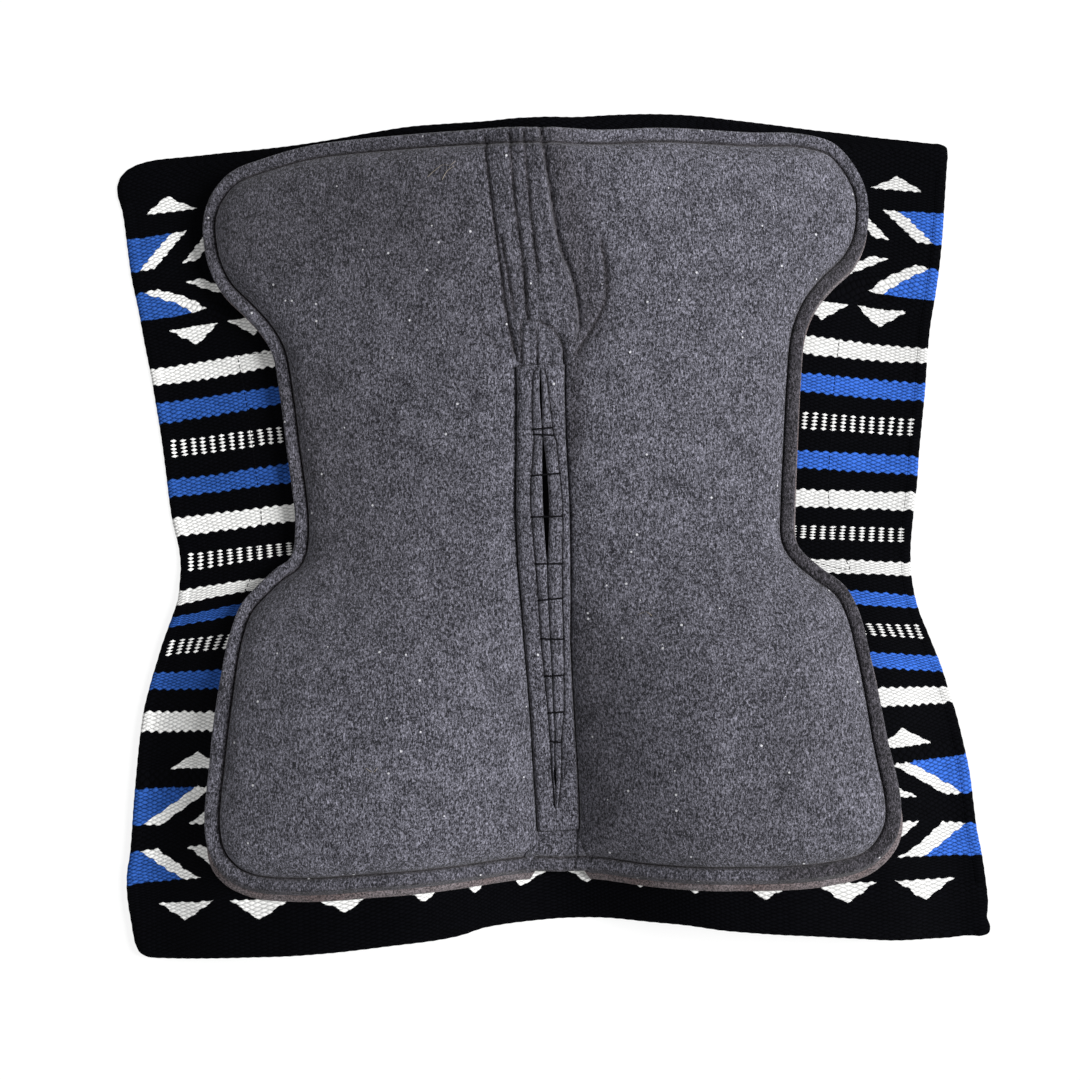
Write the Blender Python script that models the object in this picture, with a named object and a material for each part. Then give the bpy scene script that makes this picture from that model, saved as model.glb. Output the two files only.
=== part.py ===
"""A contoured western saddle pad, laid on the floor with its felt side up.

X runs across the pad, +Y points to its front and Z is up, in metres. Every layer is drawn flat,
in plan, and lay() lifts it onto one shared relief, so that the layers stay parallel.
In the names below, u is the distance across and v the distance along, and h is the height
above the underside of the woven blanket.
"""
import math

import bmesh
import bpy
from mathutils import Vector
from mathutils.geometry import delaunay_2d_cdt

# Woven blanket: the wide outer layer, next to the floor here
BLANKET_WIDTH = 0.914
BLANKET_LENGTH = 0.865
BLANKET_THICK = 0.004

# Felt pad sewn on the blanket, which stands out past it on each side
FELT_SIDE_MARGIN = 0.095
FELT_FRONT_MARGIN = 0.0105
FELT_REAR_MARGIN = 0.0605
FELT_WIDTH = BLANKET_WIDTH - 2 * FELT_SIDE_MARGIN
FELT_LENGTH = BLANKET_LENGTH - FELT_FRONT_MARGIN - FELT_REAR_MARGIN
FELT_AHEAD = (FELT_REAR_MARGIN - FELT_FRONT_MARGIN) / 2  # its middle, ahead of the blanket's
BACKING_THICK = 0.005

# Foam core in each side of the pad
CORE_THICK = 0.010
CORE_EDGE_THICK = 0.0025
CORE_BEVEL = 0.012
CORE_INSET = 0.024  # from the felt's outer edge
CORE_SPINE_INSET = 0.012  # from the spine channel
POCKET_PLAY = 0.004  # width of the felt's step around the core

# Felt cover: a rolled rim, a sewn groove and a stuffed body
COVER_THICK = 0.006
EDGE_HEIGHT = 0.0150  # of the cut edge, above the blanket's underside
RIM_HEIGHT = 0.0185
RIM_INSET = 0.007
GROOVE_HEIGHT = 0.0140
GROOVE_INSET = 0.016
BODY_INSET = 0.034
SPINE_EDGE_HEIGHT = 0.0165
SPINE_SHOULDER_INSET = 0.026
CROWN = 0.003
CROWN_RUN = 0.090

# Spine strip, with its vent slits, in the channel between the two sides.
# Its ends lie behind the felt's foremost point and ahead of its rearmost.
STRIP_HALF_WIDTH = 0.026
STRIP_BEHIND_FRONT = 0.254
STRIP_AHEAD_OF_REAR = 0.059
STRIP_FRONT = FELT_AHEAD + FELT_LENGTH / 2 - STRIP_BEHIND_FRONT
STRIP_REAR = FELT_AHEAD - FELT_LENGTH / 2 + STRIP_AHEAD_OF_REAR
STRIP_LENGTH = STRIP_FRONT - STRIP_REAR
STRIP_EDGE_HEIGHT = 0.0165
STRIP_BODY_HEIGHT = 0.0195
STRIP_BODY_INSET = 0.009
LIP_HEIGHT = 0.0215
LIP_HALF_WIDTH = 0.014
FACING_THICK = 0.003
FACING_HALF_WIDTH = 0.020

# Each vent slit: where it starts and ends, as shares of the strip's length from its front,
# and its share of the widest slit's width
SLIT_SHARES = ((0.027, 0.125, 0.47), (0.166, 0.420, 1.0), (0.854, 0.898, 0.65))
SLIT_WIDTH = 0.0068
SLIT_STATIONS = 6

# Cross tacks that close the strip over the spine, as shares of its length from its front.
# Each reaches across both lips.
TACK_SHARES = (0.136, 0.153, 0.239, 0.331, 0.432, 0.505, 0.590, 0.669, 0.748, 0.811)
TACK_WIDTH = 0.002
TACK_THICK = 0.0014
TACK_TRIM_SHARE = 0.25  # of the width, taken off all round at its top

# Pleated gussets that fill the channel in front of the strip and behind it
FRONT_GUSSET_HALF_WIDTH = 0.041
REAR_GUSSET_HALF_WIDTH = 0.036
GUSSET_FLARE = 0.045  # length over which the channel widens
GUSSET_HEIGHT = 0.0205
PLEAT_DEPTH = 0.0065
PLEAT_HALF_WIDTH = 0.0045
# Each pleat's crease: its place across at the strip and at the pad's edge,
# as shares of the gusset's half width
FRONT_CREASE_SHARES = ((-0.59, -0.90), (-0.15, -0.37), (0.83, 0.29))
REAR_CREASE_SHARES = ((-0.28, -0.50), (0.25, 0.47))

# Wear leathers on the far side of the blanket
LEATHER_LENGTH = 0.275
LEATHER_WIDTH = 0.180
LEATHER_INSET = 0.025  # of its outermost reach, from the felt's widest
LEATHER_OUTER = FELT_WIDTH / 2 - LEATHER_INSET
LEATHER_AHEAD = 0.078
LEATHER_THICK = 0.003

# Folded hem along each side of the blanket
HEM_WIDTH = 0.011
HEM_SET_BACK = 0.0012
HEM_THICK = 0.0016
HEM_SHORT = 0.022  # left free at each end
HEM_FROM_SHARE = 0.82  # of the blanket's half width, which every hem lies outside

# Relief of the pad as it lies: a roof in front, a channel with a shoulder on each side behind
RIDGE_RISE = 0.115
RIDGE_FOOT_AHEAD = 0.097  # of the blanket's rear edge
RIDGE_FOOT_ROUND = 0.050
ROOF_FOOT_INSET = 0.082  # from the blanket's widest
ROOF_REACH = BLANKET_WIDTH / 2 - ROOF_FOOT_INSET
ROOF_ROUND = 0.030
HUMP_RISE = 0.062
HUMP_START = 0.035
HUMP_FULL_AHEAD = 0.2175  # of the blanket's rear edge
HUMP_RUN = HUMP_START + BLANKET_LENGTH / 2 - HUMP_FULL_AHEAD
SHOULDER_AT = 0.170
PANEL_FALL_SHARE = 0.35
PANEL_FALL_INSET = 0.142  # from the felt's widest
PANEL_FALL_FROM = FELT_WIDTH / 2 - PANEL_FALL_INSET
PANEL_FALL_RUN = 0.130
BORDER_FALL_SHARE = 0.55
BORDER_FALL_INSET = 0.032  # from the felt's widest
BORDER_FALL_FROM = FELT_WIDTH / 2 - BORDER_FALL_INSET
BORDER_FALL_RUN = 0.100
FLAT_CUT = 0.0005  # the underside is cut flat this deep where it meets the floor

# Clearances and facets
LAYER_GAP = 0.0004
PLAY = 0.0006  # between pieces that lie side by side
LEATHER_PLAY = 0.0008
FACING_PLAY = 0.0012  # between the blanket and the facing over it
GUSSET_PLAY = 0.0020  # between the blanket and the thick pleated felt over it
SMALL_PLAY = 0.0003
FACET = 0.027  # along the outlines
FACET_ACROSS = 0.038
FACET_ALONG = 0.062
FINE_FACET = 0.013
FINE_FACET_ACROSS = 0.0065
PROBE = 0.0005
MERGE = 0.00001

# Half outlines, from the front of the spine round to its rear.
# Each point is a share of the half width and a share of the half length.
BLANKET_SHARES = (
    (0.0, 0.975), (0.284, 0.998), (0.635, 0.998), (0.875, 0.992), (0.965, 0.976),
    (1.0, 0.930), (0.993, 0.880), (0.980, 0.790), (0.965, 0.674), (0.945, 0.558),
    (0.926, 0.443), (0.912, 0.350), (0.884, 0.119), (0.862, -0.015), (0.858, -0.112),
    (0.870, -0.182), (0.897, -0.285), (0.925, -0.395), (0.956, -0.553), (0.972, -0.690),
    (0.982, -0.850), (0.978, -0.930), (0.962, -0.982), (0.930, -0.999), (0.830, -1.0),
    (0.624, -0.984), (0.438, -0.970), (0.263, -0.951), (0.110, -0.937), (0.0, -0.933),
)
FELT_SHARES = (
    (0.0, 0.965), (0.166, 0.980), (0.373, 0.997), (0.635, 1.0), (0.787, 0.990),
    (0.898, 0.967), (0.961, 0.914), (0.997, 0.844), (1.0, 0.768), (0.983, 0.693),
    (0.945, 0.630), (0.878, 0.567), (0.826, 0.509), (0.793, 0.441), (0.773, 0.315),
    (0.760, 0.189), (0.740, -0.025), (0.746, -0.118), (0.779, -0.154), (0.834, -0.199),
    (0.887, -0.249), (0.917, -0.315), (0.942, -0.453), (0.967, -0.630), (0.986, -0.806),
    (0.972, -0.882), (0.934, -0.940), (0.862, -0.980), (0.732, -1.0), (0.497, -1.0),
    (0.276, -0.990), (0.110, -0.972), (0.0, -0.970),
)
# A wear leather: shares of its width, from its outermost reach inwards, and of its half length
LEATHER_SHARES = (
    (0.0, 1.0), (0.06, 0.55), (0.10, 0.10), (0.135, -0.40), (0.10, -0.72), (0.045, -1.0),
    (0.30, -0.96), (0.62, -0.72), (0.90, -0.36), (1.0, 0.05), (0.93, 0.45), (0.66, 0.80),
    (0.33, 0.97),
)

# Heights of the layers above the blanket's underside
BACKING_LOW = BLANKET_THICK + LAYER_GAP
BACKING_HIGH = BACKING_LOW + BACKING_THICK
CORE_LOW = BACKING_HIGH + LAYER_GAP
FACING_LOW = BLANKET_THICK + FACING_PLAY
FACING_HIGH = FACING_LOW + FACING_THICK
STRIP_LOW = FACING_HIGH + PLAY


def smooth(share):
    """An even step from 0 to 1."""
    share = min(max(share, 0.0), 1.0)
    return share * share * (3 - 2 * share)


def stepped(distance, stations):
    """A height that eases from one (distance, height) station to the next."""
    for (near, low), (far, high) in zip(stations, stations[1:]):
        if distance <= far:
            return low + (high - low) * smooth((distance - near) / (far - near))
    return stations[-1][1]


# Relief

def spine_height(v):
    """The spine line climbs evenly from its foot near the rear to the front edge."""
    foot = RIDGE_FOOT_AHEAD - BLANKET_LENGTH / 2
    slope = RIDGE_RISE / (BLANKET_LENGTH / 2 - foot)
    past = v - foot
    if past > RIDGE_FOOT_ROUND:
        return slope * past
    if past < -RIDGE_FOOT_ROUND:
        return 0.0
    return slope * (past + RIDGE_FOOT_ROUND) ** 2 / (4 * RIDGE_FOOT_ROUND)


def roof_share(s):
    """The roof's height at s from the spine, as a share of the spine's, with a round top and foot."""
    t = s / ROOF_REACH
    k = ROOF_ROUND / ROOF_REACH
    if t < k:
        share = 1 - t * t / (2 * k) - k / 2
    elif t <= 1 - k:
        share = 1 - t
    else:
        share = max(0.0, 1 + k - t) ** 2 / (4 * k)
    return share / (1 - k / 2)


def hump_share(s):
    """The hump's height at s from the spine, as a share of its rise."""
    rise = smooth(s / SHOULDER_AT)
    panel_fall = PANEL_FALL_SHARE * smooth((s - PANEL_FALL_FROM) / PANEL_FALL_RUN)
    border_fall = BORDER_FALL_SHARE * smooth((s - BORDER_FALL_FROM) / BORDER_FALL_RUN)
    return rise * (1 - panel_fall - border_fall)


def relief(u, v):
    """Height of the blanket's underside above the floor."""
    s = abs(u)
    hump = HUMP_RISE * smooth((HUMP_START - v) / HUMP_RUN)
    return spine_height(v) * roof_share(s) + hump * hump_share(s)


def lay(u, v, h):
    """The place of a flat point (u, v) that is h above the blanket's underside."""
    across = (relief(u + PROBE, v) - relief(u - PROBE, v)) / (2 * PROBE)
    along = (relief(u, v + PROBE) - relief(u, v - PROBE)) / (2 * PROBE)
    normal = Vector((-across, -along, 1.0)).normalized()
    place = Vector((u, v, relief(u, v) - FLAT_CUT)) + normal * h
    if h == 0:
        place.z = max(place.z, 0.0)
    return place


# Curves in plan

def curve_through(points, steps=8):
    """A smooth curve through the points, as short chords."""
    ends = [2 * points[0] - points[1]] + list(points) + [2 * points[-1] - points[-2]]
    made = []
    for a, b, c, d in zip(ends, ends[1:], ends[2:], ends[3:]):
        t1 = math.sqrt((b - a).length)
        t2 = t1 + math.sqrt((c - b).length)
        t3 = t2 + math.sqrt((d - c).length)
        for i in range(steps):
            t = t1 + (t2 - t1) * i / steps
            p = a + (b - a) * (t / t1)
            q = b + (c - b) * ((t - t1) / (t2 - t1))
            r = c + (d - c) * ((t - t2) / (t3 - t2))
            m = p + (q - p) * (t / t2)
            n = q + (r - q) * ((t - t1) / (t3 - t1))
            made.append(m + (n - m) * ((t - t1) / (t2 - t1)))
    made.append(points[-1].copy())
    return made


def evenly(points, step):
    """The same path with its points an even step apart."""
    lengths = [0.0]
    for a, b in zip(points, points[1:]):
        lengths.append(lengths[-1] + (b - a).length)
    count = max(1, round(lengths[-1] / step))
    made = []
    i = 0
    for n in range(count + 1):
        target = lengths[-1] * n / count
        while i < len(points) - 2 and lengths[i + 1] < target:
            i += 1
        share = (target - lengths[i]) / max(lengths[i + 1] - lengths[i], MERGE * MERGE)
        made.append(points[i].lerp(points[i + 1], min(share, 1.0)))
    return made


def to_segment(p, a, b):
    """Distance from p to the straight line between a and b."""
    along = b - a
    share = min(max((p - a).dot(along) / max(along.dot(along), MERGE * MERGE), 0.0), 1.0)
    return (p - a - along * share).length


def to_path(p, path):
    """Distance from p to a path."""
    return min(to_segment(p, a, b) for a, b in zip(path, path[1:]))


def inside(p, loop):
    """Whether p lies inside a closed loop."""
    odd = False
    for a, b in zip(loop, loop[1:] + loop[:1]):
        if (a.y > p.y) != (b.y > p.y):
            if p.x < a.x + (b.x - a.x) * (p.y - a.y) / (b.y - a.y):
                odd = not odd
    return odd


def half_outline(shares, width, length, ahead=0.0):
    """A right half outline, from the front of the spine to its rear."""
    return curve_through([Vector((x * width / 2, ahead + y * length / 2)) for x, y in shares])


BLANKET_EDGE = half_outline(BLANKET_SHARES, BLANKET_WIDTH, BLANKET_LENGTH)
FELT_EDGE = half_outline(FELT_SHARES, FELT_WIDTH, FELT_LENGTH, FELT_AHEAD)
FELT_EDGE_EVEN = evenly(FELT_EDGE, FACET / 2)


def inset_path(path, inset):
    """The path moved inwards, to the right of its run, without the points that would cross."""
    if inset == 0:
        return list(path)
    made = []
    for before, p, after in zip(path[:1] + path, path, path[1:] + path[-1:]):
        run = after - before
        q = p + Vector((run.y, -run.x)).normalized() * inset
        if to_path(q, path) > inset - PLAY:
            made.append(q)
    return made


def channel_half(v):
    """Half the width of the channel between the two sides of the felt."""
    strip = STRIP_HALF_WIDTH + PLAY
    front = (FRONT_GUSSET_HALF_WIDTH - STRIP_HALF_WIDTH) * smooth((v - STRIP_FRONT) / GUSSET_FLARE)
    rear = (REAR_GUSSET_HALF_WIDTH - STRIP_HALF_WIDTH) * smooth((STRIP_REAR - v) / GUSSET_FLARE)
    return strip + front + rear


def from_felt_edge(u, v):
    """Distance of a point from the felt's outer edge."""
    return to_path(Vector((abs(u), v)), FELT_EDGE_EVEN)


def clipped(path, spine_inset):
    """The stretch of a path that lies outside the channel, with its ends on the channel's wall."""
    dense = evenly(path, FACET / 16)
    kept = [p for p in dense if p.x > channel_half(p.y) + spine_inset]
    first = kept[0].copy()
    last = kept[-1].copy()
    first.x = channel_half(first.y) + spine_inset
    last.x = channel_half(last.y) + spine_inset
    return [first] + kept[1:-1] + [last]


def channel_wall(low, high, inset):
    """Points up one wall of the channel, closer together where it widens."""
    wall = []
    steps = round(BLANKET_LENGTH / FACET)
    for n in range(-steps, steps + 1):
        v = n * FACET / 2
        flared = v > STRIP_FRONT or v < STRIP_REAR
        if low + FACET / 4 < v < high - FACET / 4 and (flared or n % 2 == 0):
            wall.append(Vector((channel_half(v) + inset, v)))
    return wall


def panel_loop(edge_inset, spine_inset):
    """The closed outline of one side of the felt, inset from its edge and from the channel."""
    outer = evenly(clipped(inset_path(FELT_EDGE, edge_inset), spine_inset), FACET)
    return outer + channel_wall(outer[-1].y, outer[0].y, spine_inset)


# Triangles in plan

def lattice(across, along, loop, clear_of, clearance):
    """Free points on an even grid, inside a loop and clear of the paths."""
    spots = []
    rows = math.ceil(BLANKET_LENGTH / 2 / along)
    columns = math.ceil(BLANKET_WIDTH / 2 / across)
    for j in range(-rows, rows + 1):
        for i in range(columns + 1):
            p = Vector((i * across, j * along))
            if inside(p, loop) and all(to_path(p, path) > clearance for path in clear_of):
                spots.append(p)
    return spots


def triangulate(loops, rows=(), spots=()):
    """Flat triangles over closed loops, open rows and free spots."""
    points = []
    edges = []
    for path in loops:
        start = len(points)
        points.extend(path)
        edges.extend((start + i, start + (i + 1) % len(path)) for i in range(len(path)))
    for path in rows:
        start = len(points)
        points.extend(path)
        edges.extend((start + i, start + i + 1) for i in range(len(path) - 1))
    points.extend(spots)
    verts, _, faces, *_ = delaunay_2d_cdt(points, edges, [], 0, MERGE)
    return [(verts[a], verts[b], verts[c]) for a, b, c in faces]


def region(triangles, loop):
    """The triangles that lie inside a loop."""
    return [t for t in triangles if inside((t[0] + t[1] + t[2]) / 3, loop)]


def closed(path):
    """The path with its first point again at its end."""
    return path + path[:1]


# Solids

def material(name, colour, roughness):
    made = bpy.data.materials.new(name)
    made.use_nodes = True
    shader = made.node_tree.nodes["Principled BSDF"]
    shader.inputs["Base Color"].default_value = (*colour, 1.0)
    shader.inputs["Roughness"].default_value = roughness
    shader.inputs["Metallic"].default_value = 0.0
    return made


def finish(bm, name, finish_material):
    """Turns the shape into an object, with its faces pointing outwards."""
    bmesh.ops.triangulate(bm, faces=[f for f in bm.faces if len(f.verts) > 3])
    bmesh.ops.recalc_face_normals(bm, faces=bm.faces)
    mesh = bpy.data.meshes.new(name)
    bm.to_mesh(mesh)
    bm.free()
    mesh.materials.append(finish_material)
    made = bpy.data.objects.new(name, mesh)
    bpy.context.collection.objects.link(made)
    return made


def add_half(bm, low, high, loop, low_height, high_height, side):
    """Adds one side of a layer: its underside, its top and the wall round its loop."""
    placed = {}

    def vert(p, height, level):
        key = (p.x, p.y, level)
        if key not in placed:
            u = p.x * side
            placed[key] = bm.verts.new(lay(u, p.y, height(u, p.y)))
        return placed[key]

    for a, b, c in low:
        bm.faces.new((vert(a, low_height, 0), vert(b, low_height, 0), vert(c, low_height, 0)))
    for a, b, c in high:
        bm.faces.new((vert(a, high_height, 1), vert(b, high_height, 1), vert(c, high_height, 1)))
    for a, b in zip(loop, closed(loop)[1:]):
        if a.x > MERGE or b.x > MERGE:
            bm.faces.new((vert(a, low_height, 0), vert(b, low_height, 0),
                          vert(b, high_height, 1), vert(a, high_height, 1)))


def add_layer(name, low, high, loop, low_height, high_height, sides, finish_material):
    """A layer on one side of the spine, or one that crosses it, as one closed solid."""
    bm = bmesh.new()
    for side in sides:
        add_half(bm, low, high, loop, low_height, high_height, side)
    bmesh.ops.remove_doubles(bm, verts=bm.verts, dist=MERGE)
    return finish(bm, name, finish_material)


def level(height):
    """A height that is the same everywhere."""
    return lambda u, v: height


# Heights of the shaped tops

def edge_profile(u, v):
    """Cut edge, rolled rim, sewn groove and the rise to the stuffed body."""
    body = CORE_LOW + CORE_THICK + LAYER_GAP + COVER_THICK
    stations = ((0.0, EDGE_HEIGHT), (RIM_INSET, RIM_HEIGHT),
                (GROOVE_INSET, GROOVE_HEIGHT), (BODY_INSET, body))
    return stepped(from_felt_edge(u, v), stations)


def crown(u, v):
    """Swell of the core and its cover towards the middle of each side."""
    edge = from_felt_edge(u, v) - CORE_INSET - CORE_BEVEL
    spine = abs(u) - channel_half(v) - CORE_SPINE_INSET - CORE_BEVEL
    return CROWN * smooth(min(edge, spine) / CROWN_RUN)


def core_top(u, v):
    edge = from_felt_edge(u, v) - CORE_INSET
    spine = abs(u) - channel_half(v) - CORE_SPINE_INSET
    share = smooth(min(edge, spine) / CORE_BEVEL)
    return CORE_LOW + CORE_EDGE_THICK + (CORE_THICK - CORE_EDGE_THICK) * share + crown(u, v)


def cover_low(u, v):
    """The cover lies on the backing outside the core and on the core inside it."""
    edge = from_felt_edge(u, v) - CORE_INSET
    spine = abs(u) - channel_half(v) - CORE_SPINE_INSET
    if min(edge, spine) < -POCKET_PLAY / 2:
        return CORE_LOW
    return core_top(u, v) + LAYER_GAP


def cover_top(u, v):
    body = CORE_LOW + CORE_THICK + LAYER_GAP + COVER_THICK
    spine_stations = ((0.0, SPINE_EDGE_HEIGHT), (SPINE_SHOULDER_INSET, body))
    spine_side = stepped(abs(u) - channel_half(v), spine_stations)
    return min(edge_profile(u, v), spine_side) + crown(u, v)


def strip_top(u, v):
    """The strip is low at its stitched edges and has a raised lip along the vent."""
    s = abs(u)
    body = stepped(STRIP_HALF_WIDTH - s, ((0.0, STRIP_EDGE_HEIGHT),
                                          (STRIP_BODY_INSET, STRIP_BODY_HEIGHT)))
    lip = (LIP_HEIGHT - STRIP_BODY_HEIGHT) * smooth((LIP_HALF_WIDTH - s) / (LIP_HALF_WIDTH / 2))
    return body + lip


def gusset_top(crease_shares, half_width, v_strip, v_edge):
    """A gusset's top, with its pleats pressed in along the creases and its rim at the pad's edge."""
    def height(u, v):
        share = (v - v_strip) / (v_edge - v_strip)
        top = GUSSET_HEIGHT
        for at_strip, at_edge in crease_shares:
            crease = half_width * (at_strip + (at_edge - at_strip) * share)
            top -= PLEAT_DEPTH * math.exp(-((u - crease) / PLEAT_HALF_WIDTH) ** 2)
        return min(top, edge_profile(u, v))
    return height


def add_tack(bm, v):
    """A bar of thread across both lips of the strip, narrower at its top."""
    rings = []
    for n in (-2, -1, 0, 1, 2):
        u = n * LIP_HALF_WIDTH / 2
        low = strip_top(u, v) + SMALL_PLAY
        base = TACK_WIDTH / 2
        top = base - TACK_TRIM_SHARE * TACK_WIDTH
        ring = [lay(u, v - base, low), lay(u, v + base, low),
                lay(u, v + top, low + TACK_THICK), lay(u, v - top, low + TACK_THICK)]
        rings.append([bm.verts.new(place) for place in ring])
    bm.faces.new(rings[0])
    bm.faces.new(rings[-1])
    for near, far in zip(rings, rings[1:]):
        for a, b, c, d in zip(near, closed(near)[1:], closed(far)[1:], far):
            bm.faces.new((a, b, c, d))


# Pieces

def build_blanket(blanket_loop, base):
    """The woven blanket, one sheet from side to side."""
    flat = region(base, blanket_loop)
    yarn = material("woven_wool", (0.02, 0.03, 0.09), 0.9)
    add_layer("woven_blanket", flat, flat, blanket_loop, level(0), level(BLANKET_THICK),
              (1, -1), yarn)


def hem_line(outer, inset):
    """A line along the blanket's side edge, inset from it."""
    corner = max(outer, key=lambda p: p.x + p.y)
    heel = max(outer, key=lambda p: p.x - p.y)
    side = HEM_FROM_SHARE * BLANKET_WIDTH / 2
    run = [p for p in outer if heel.y + HEM_SHORT < p.y < corner.y - HEM_SHORT and p.x > side]
    return inset_path(run, inset)


def build_hems(outer):
    """A folded hem along each side of the blanket, on the face that shows."""
    yarn = material("hem_wool", (0.03, 0.03, 0.03), 0.9)
    loop = hem_line(outer, HEM_SET_BACK) + hem_line(outer, HEM_SET_BACK + HEM_WIDTH)[::-1]
    flat = region(triangulate([loop]), loop)
    low = level(BLANKET_THICK + PLAY)
    high = level(BLANKET_THICK + PLAY + HEM_THICK)
    for name, side in (("right_side_hem", 1), ("left_side_hem", -1)):
        add_layer(name, flat, flat, loop, low, high, (side,), yarn)


def leather_path():
    """The outline of the right wear leather, closed."""
    points = [Vector((LEATHER_OUTER - x * LEATHER_WIDTH, LEATHER_AHEAD + y * LEATHER_LENGTH / 2))
              for x, y in LEATHER_SHARES]
    return evenly(curve_through(closed(points)), FACET)[:-1]


def build_leathers(spots, panel):
    """A wear leather on the far side of each waist."""
    hide = material("wear_leather", (0.16, 0.07, 0.03), 0.6)
    loop = leather_path()
    rim = closed(loop)
    within = [p for p in spots if inside(p, loop) and to_path(p, rim) > FACET / 4]
    waist = [p for p in panel if inside(p, loop) and to_path(p, rim) > FACET / 4]
    flat = region(triangulate([loop], [waist], within), loop)
    for name, side in (("right_wear_leather", 1), ("left_wear_leather", -1)):
        add_layer(name, flat, flat, loop, level(-LEATHER_PLAY - LEATHER_THICK),
                  level(-LEATHER_PLAY), (side,), hide)


def build_sides(panel, base):
    """Backing, core and cover of each side of the felt."""
    backing_felt = material("backing_felt", (0.22, 0.17, 0.17), 0.95)
    foam = material("foam", (0.75, 0.72, 0.62), 0.9)
    grey_felt = material("grey_felt", (0.15, 0.145, 0.16), 0.95)
    pocket = panel_loop(CORE_INSET - POCKET_PLAY, CORE_SPINE_INSET - POCKET_PLAY)
    core = panel_loop(CORE_INSET, CORE_SPINE_INSET)
    bevel = panel_loop(CORE_INSET + CORE_BEVEL, CORE_SPINE_INSET + CORE_BEVEL)
    paths = [closed(loop) for loop in (panel, pocket, core, bevel)]
    spots = lattice(FACET_ACROSS, FACET_ALONG, bevel, paths, FACET / 3)
    shared = triangulate([panel, pocket, core, bevel], spots=spots)

    rows = []
    for inset in (RIM_INSET, GROOVE_INSET, (GROOVE_INSET + BODY_INSET) / 2, BODY_INSET):
        rows.append(evenly(clipped(inset_path(FELT_EDGE, inset), RIM_INSET), FACET / 2))
    rim = evenly(clipped(inset_path(FELT_EDGE, BODY_INSET + RIM_INSET), SPINE_SHOULDER_INSET), FACET)
    for inset in (SPINE_SHOULDER_INSET / 2, SPINE_SHOULDER_INSET):
        rows.append(channel_wall(rim[-1].y, rim[0].y, inset))
    body = panel_loop(BODY_INSET + RIM_INSET, SPINE_SHOULDER_INSET + RIM_INSET)
    crown_spots = lattice(FACET_ACROSS, FACET_ALONG / 2, body, rows, FACET / 3)
    top = region(triangulate([panel], rows, crown_spots), panel)

    floor = region(base, panel)
    for name, side in (("right", 1), ("left", -1)):
        add_layer(name + "_felt_backing", floor, region(shared, panel), panel,
                  level(BACKING_LOW), level(BACKING_HIGH), (side,), backing_felt)
        core_part = region(shared, core)
        add_layer(name + "_foam_core", core_part, core_part, core,
                  level(CORE_LOW), core_top, (side,), foam)
        add_layer(name + "_felt_cover", region(shared, panel), top, panel,
                  cover_low, cover_top, (side,), grey_felt)


def strip_loop():
    """Right half of the spine strip, with half of each slit cut out of its inner side."""
    right = evenly([Vector((STRIP_HALF_WIDTH, STRIP_FRONT)),
                    Vector((STRIP_HALF_WIDTH, STRIP_REAR))], FACET)
    spine = [Vector((0.0, STRIP_REAR))]
    for start, end, width_share in reversed(SLIT_SHARES):
        for i in range(SLIT_STATIONS + 1):
            share = i / SLIT_STATIONS
            half = 0.0
            if 0 < i < SLIT_STATIONS:
                half = width_share * SLIT_WIDTH / 2 * math.sin(math.pi * share)
            spine.append(Vector((half, STRIP_FRONT - STRIP_LENGTH * (end + (start - end) * share))))
    spine.append(Vector((0.0, STRIP_FRONT)))
    filled = []
    for a, b in zip(spine, spine[1:]):
        if a.x < MERGE and b.x < MERGE:
            filled.extend(evenly([a, b], FACET)[:-1])
        else:
            filled.append(a)
    filled.append(spine[-1])
    return right + filled


def build_spine():
    """The vent facing, the slit strip over it and the cross tacks that close it."""
    dark_felt = material("facing_felt", (0.03, 0.03, 0.035), 0.95)
    grey_felt = material("strip_felt", (0.17, 0.165, 0.18), 0.95)
    thread = material("tack_thread", (0.25, 0.25, 0.27), 0.8)

    loop = strip_loop()
    rows = []
    for across in (LIP_HALF_WIDTH, STRIP_HALF_WIDTH - STRIP_BODY_INSET):
        rows.append(evenly([Vector((across, STRIP_FRONT - FINE_FACET)),
                            Vector((across, STRIP_REAR + FINE_FACET))], FACET / 2))
    crest = evenly([Vector((LIP_HALF_WIDTH / 2, STRIP_FRONT - FINE_FACET)),
                    Vector((LIP_HALF_WIDTH / 2, STRIP_REAR + FINE_FACET))], FACET / 2)
    top = region(triangulate([loop], rows + [crest]), loop)
    low = region(triangulate([loop]), loop)
    add_layer("spine_strip", low, top, loop, level(STRIP_LOW), strip_top, (1, -1), grey_felt)

    edge = evenly([Vector((FACING_HALF_WIDTH, STRIP_FRONT - PLAY)),
                   Vector((FACING_HALF_WIDTH, STRIP_REAR + PLAY))], FACET)
    spine = evenly([Vector((0.0, STRIP_REAR + PLAY)), Vector((0.0, STRIP_FRONT - PLAY))], FACET)
    facing = edge + spine
    flat = region(triangulate([facing]), facing)
    add_layer("spine_vent_facing", flat, flat, facing, level(FACING_LOW), level(FACING_HIGH),
              (1, -1), dark_felt)

    for number, share in enumerate(TACK_SHARES, 1):
        bm = bmesh.new()
        add_tack(bm, STRIP_FRONT - STRIP_LENGTH * share)
        finish(bm, f"spine_cross_tack_{number}", thread)


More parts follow.
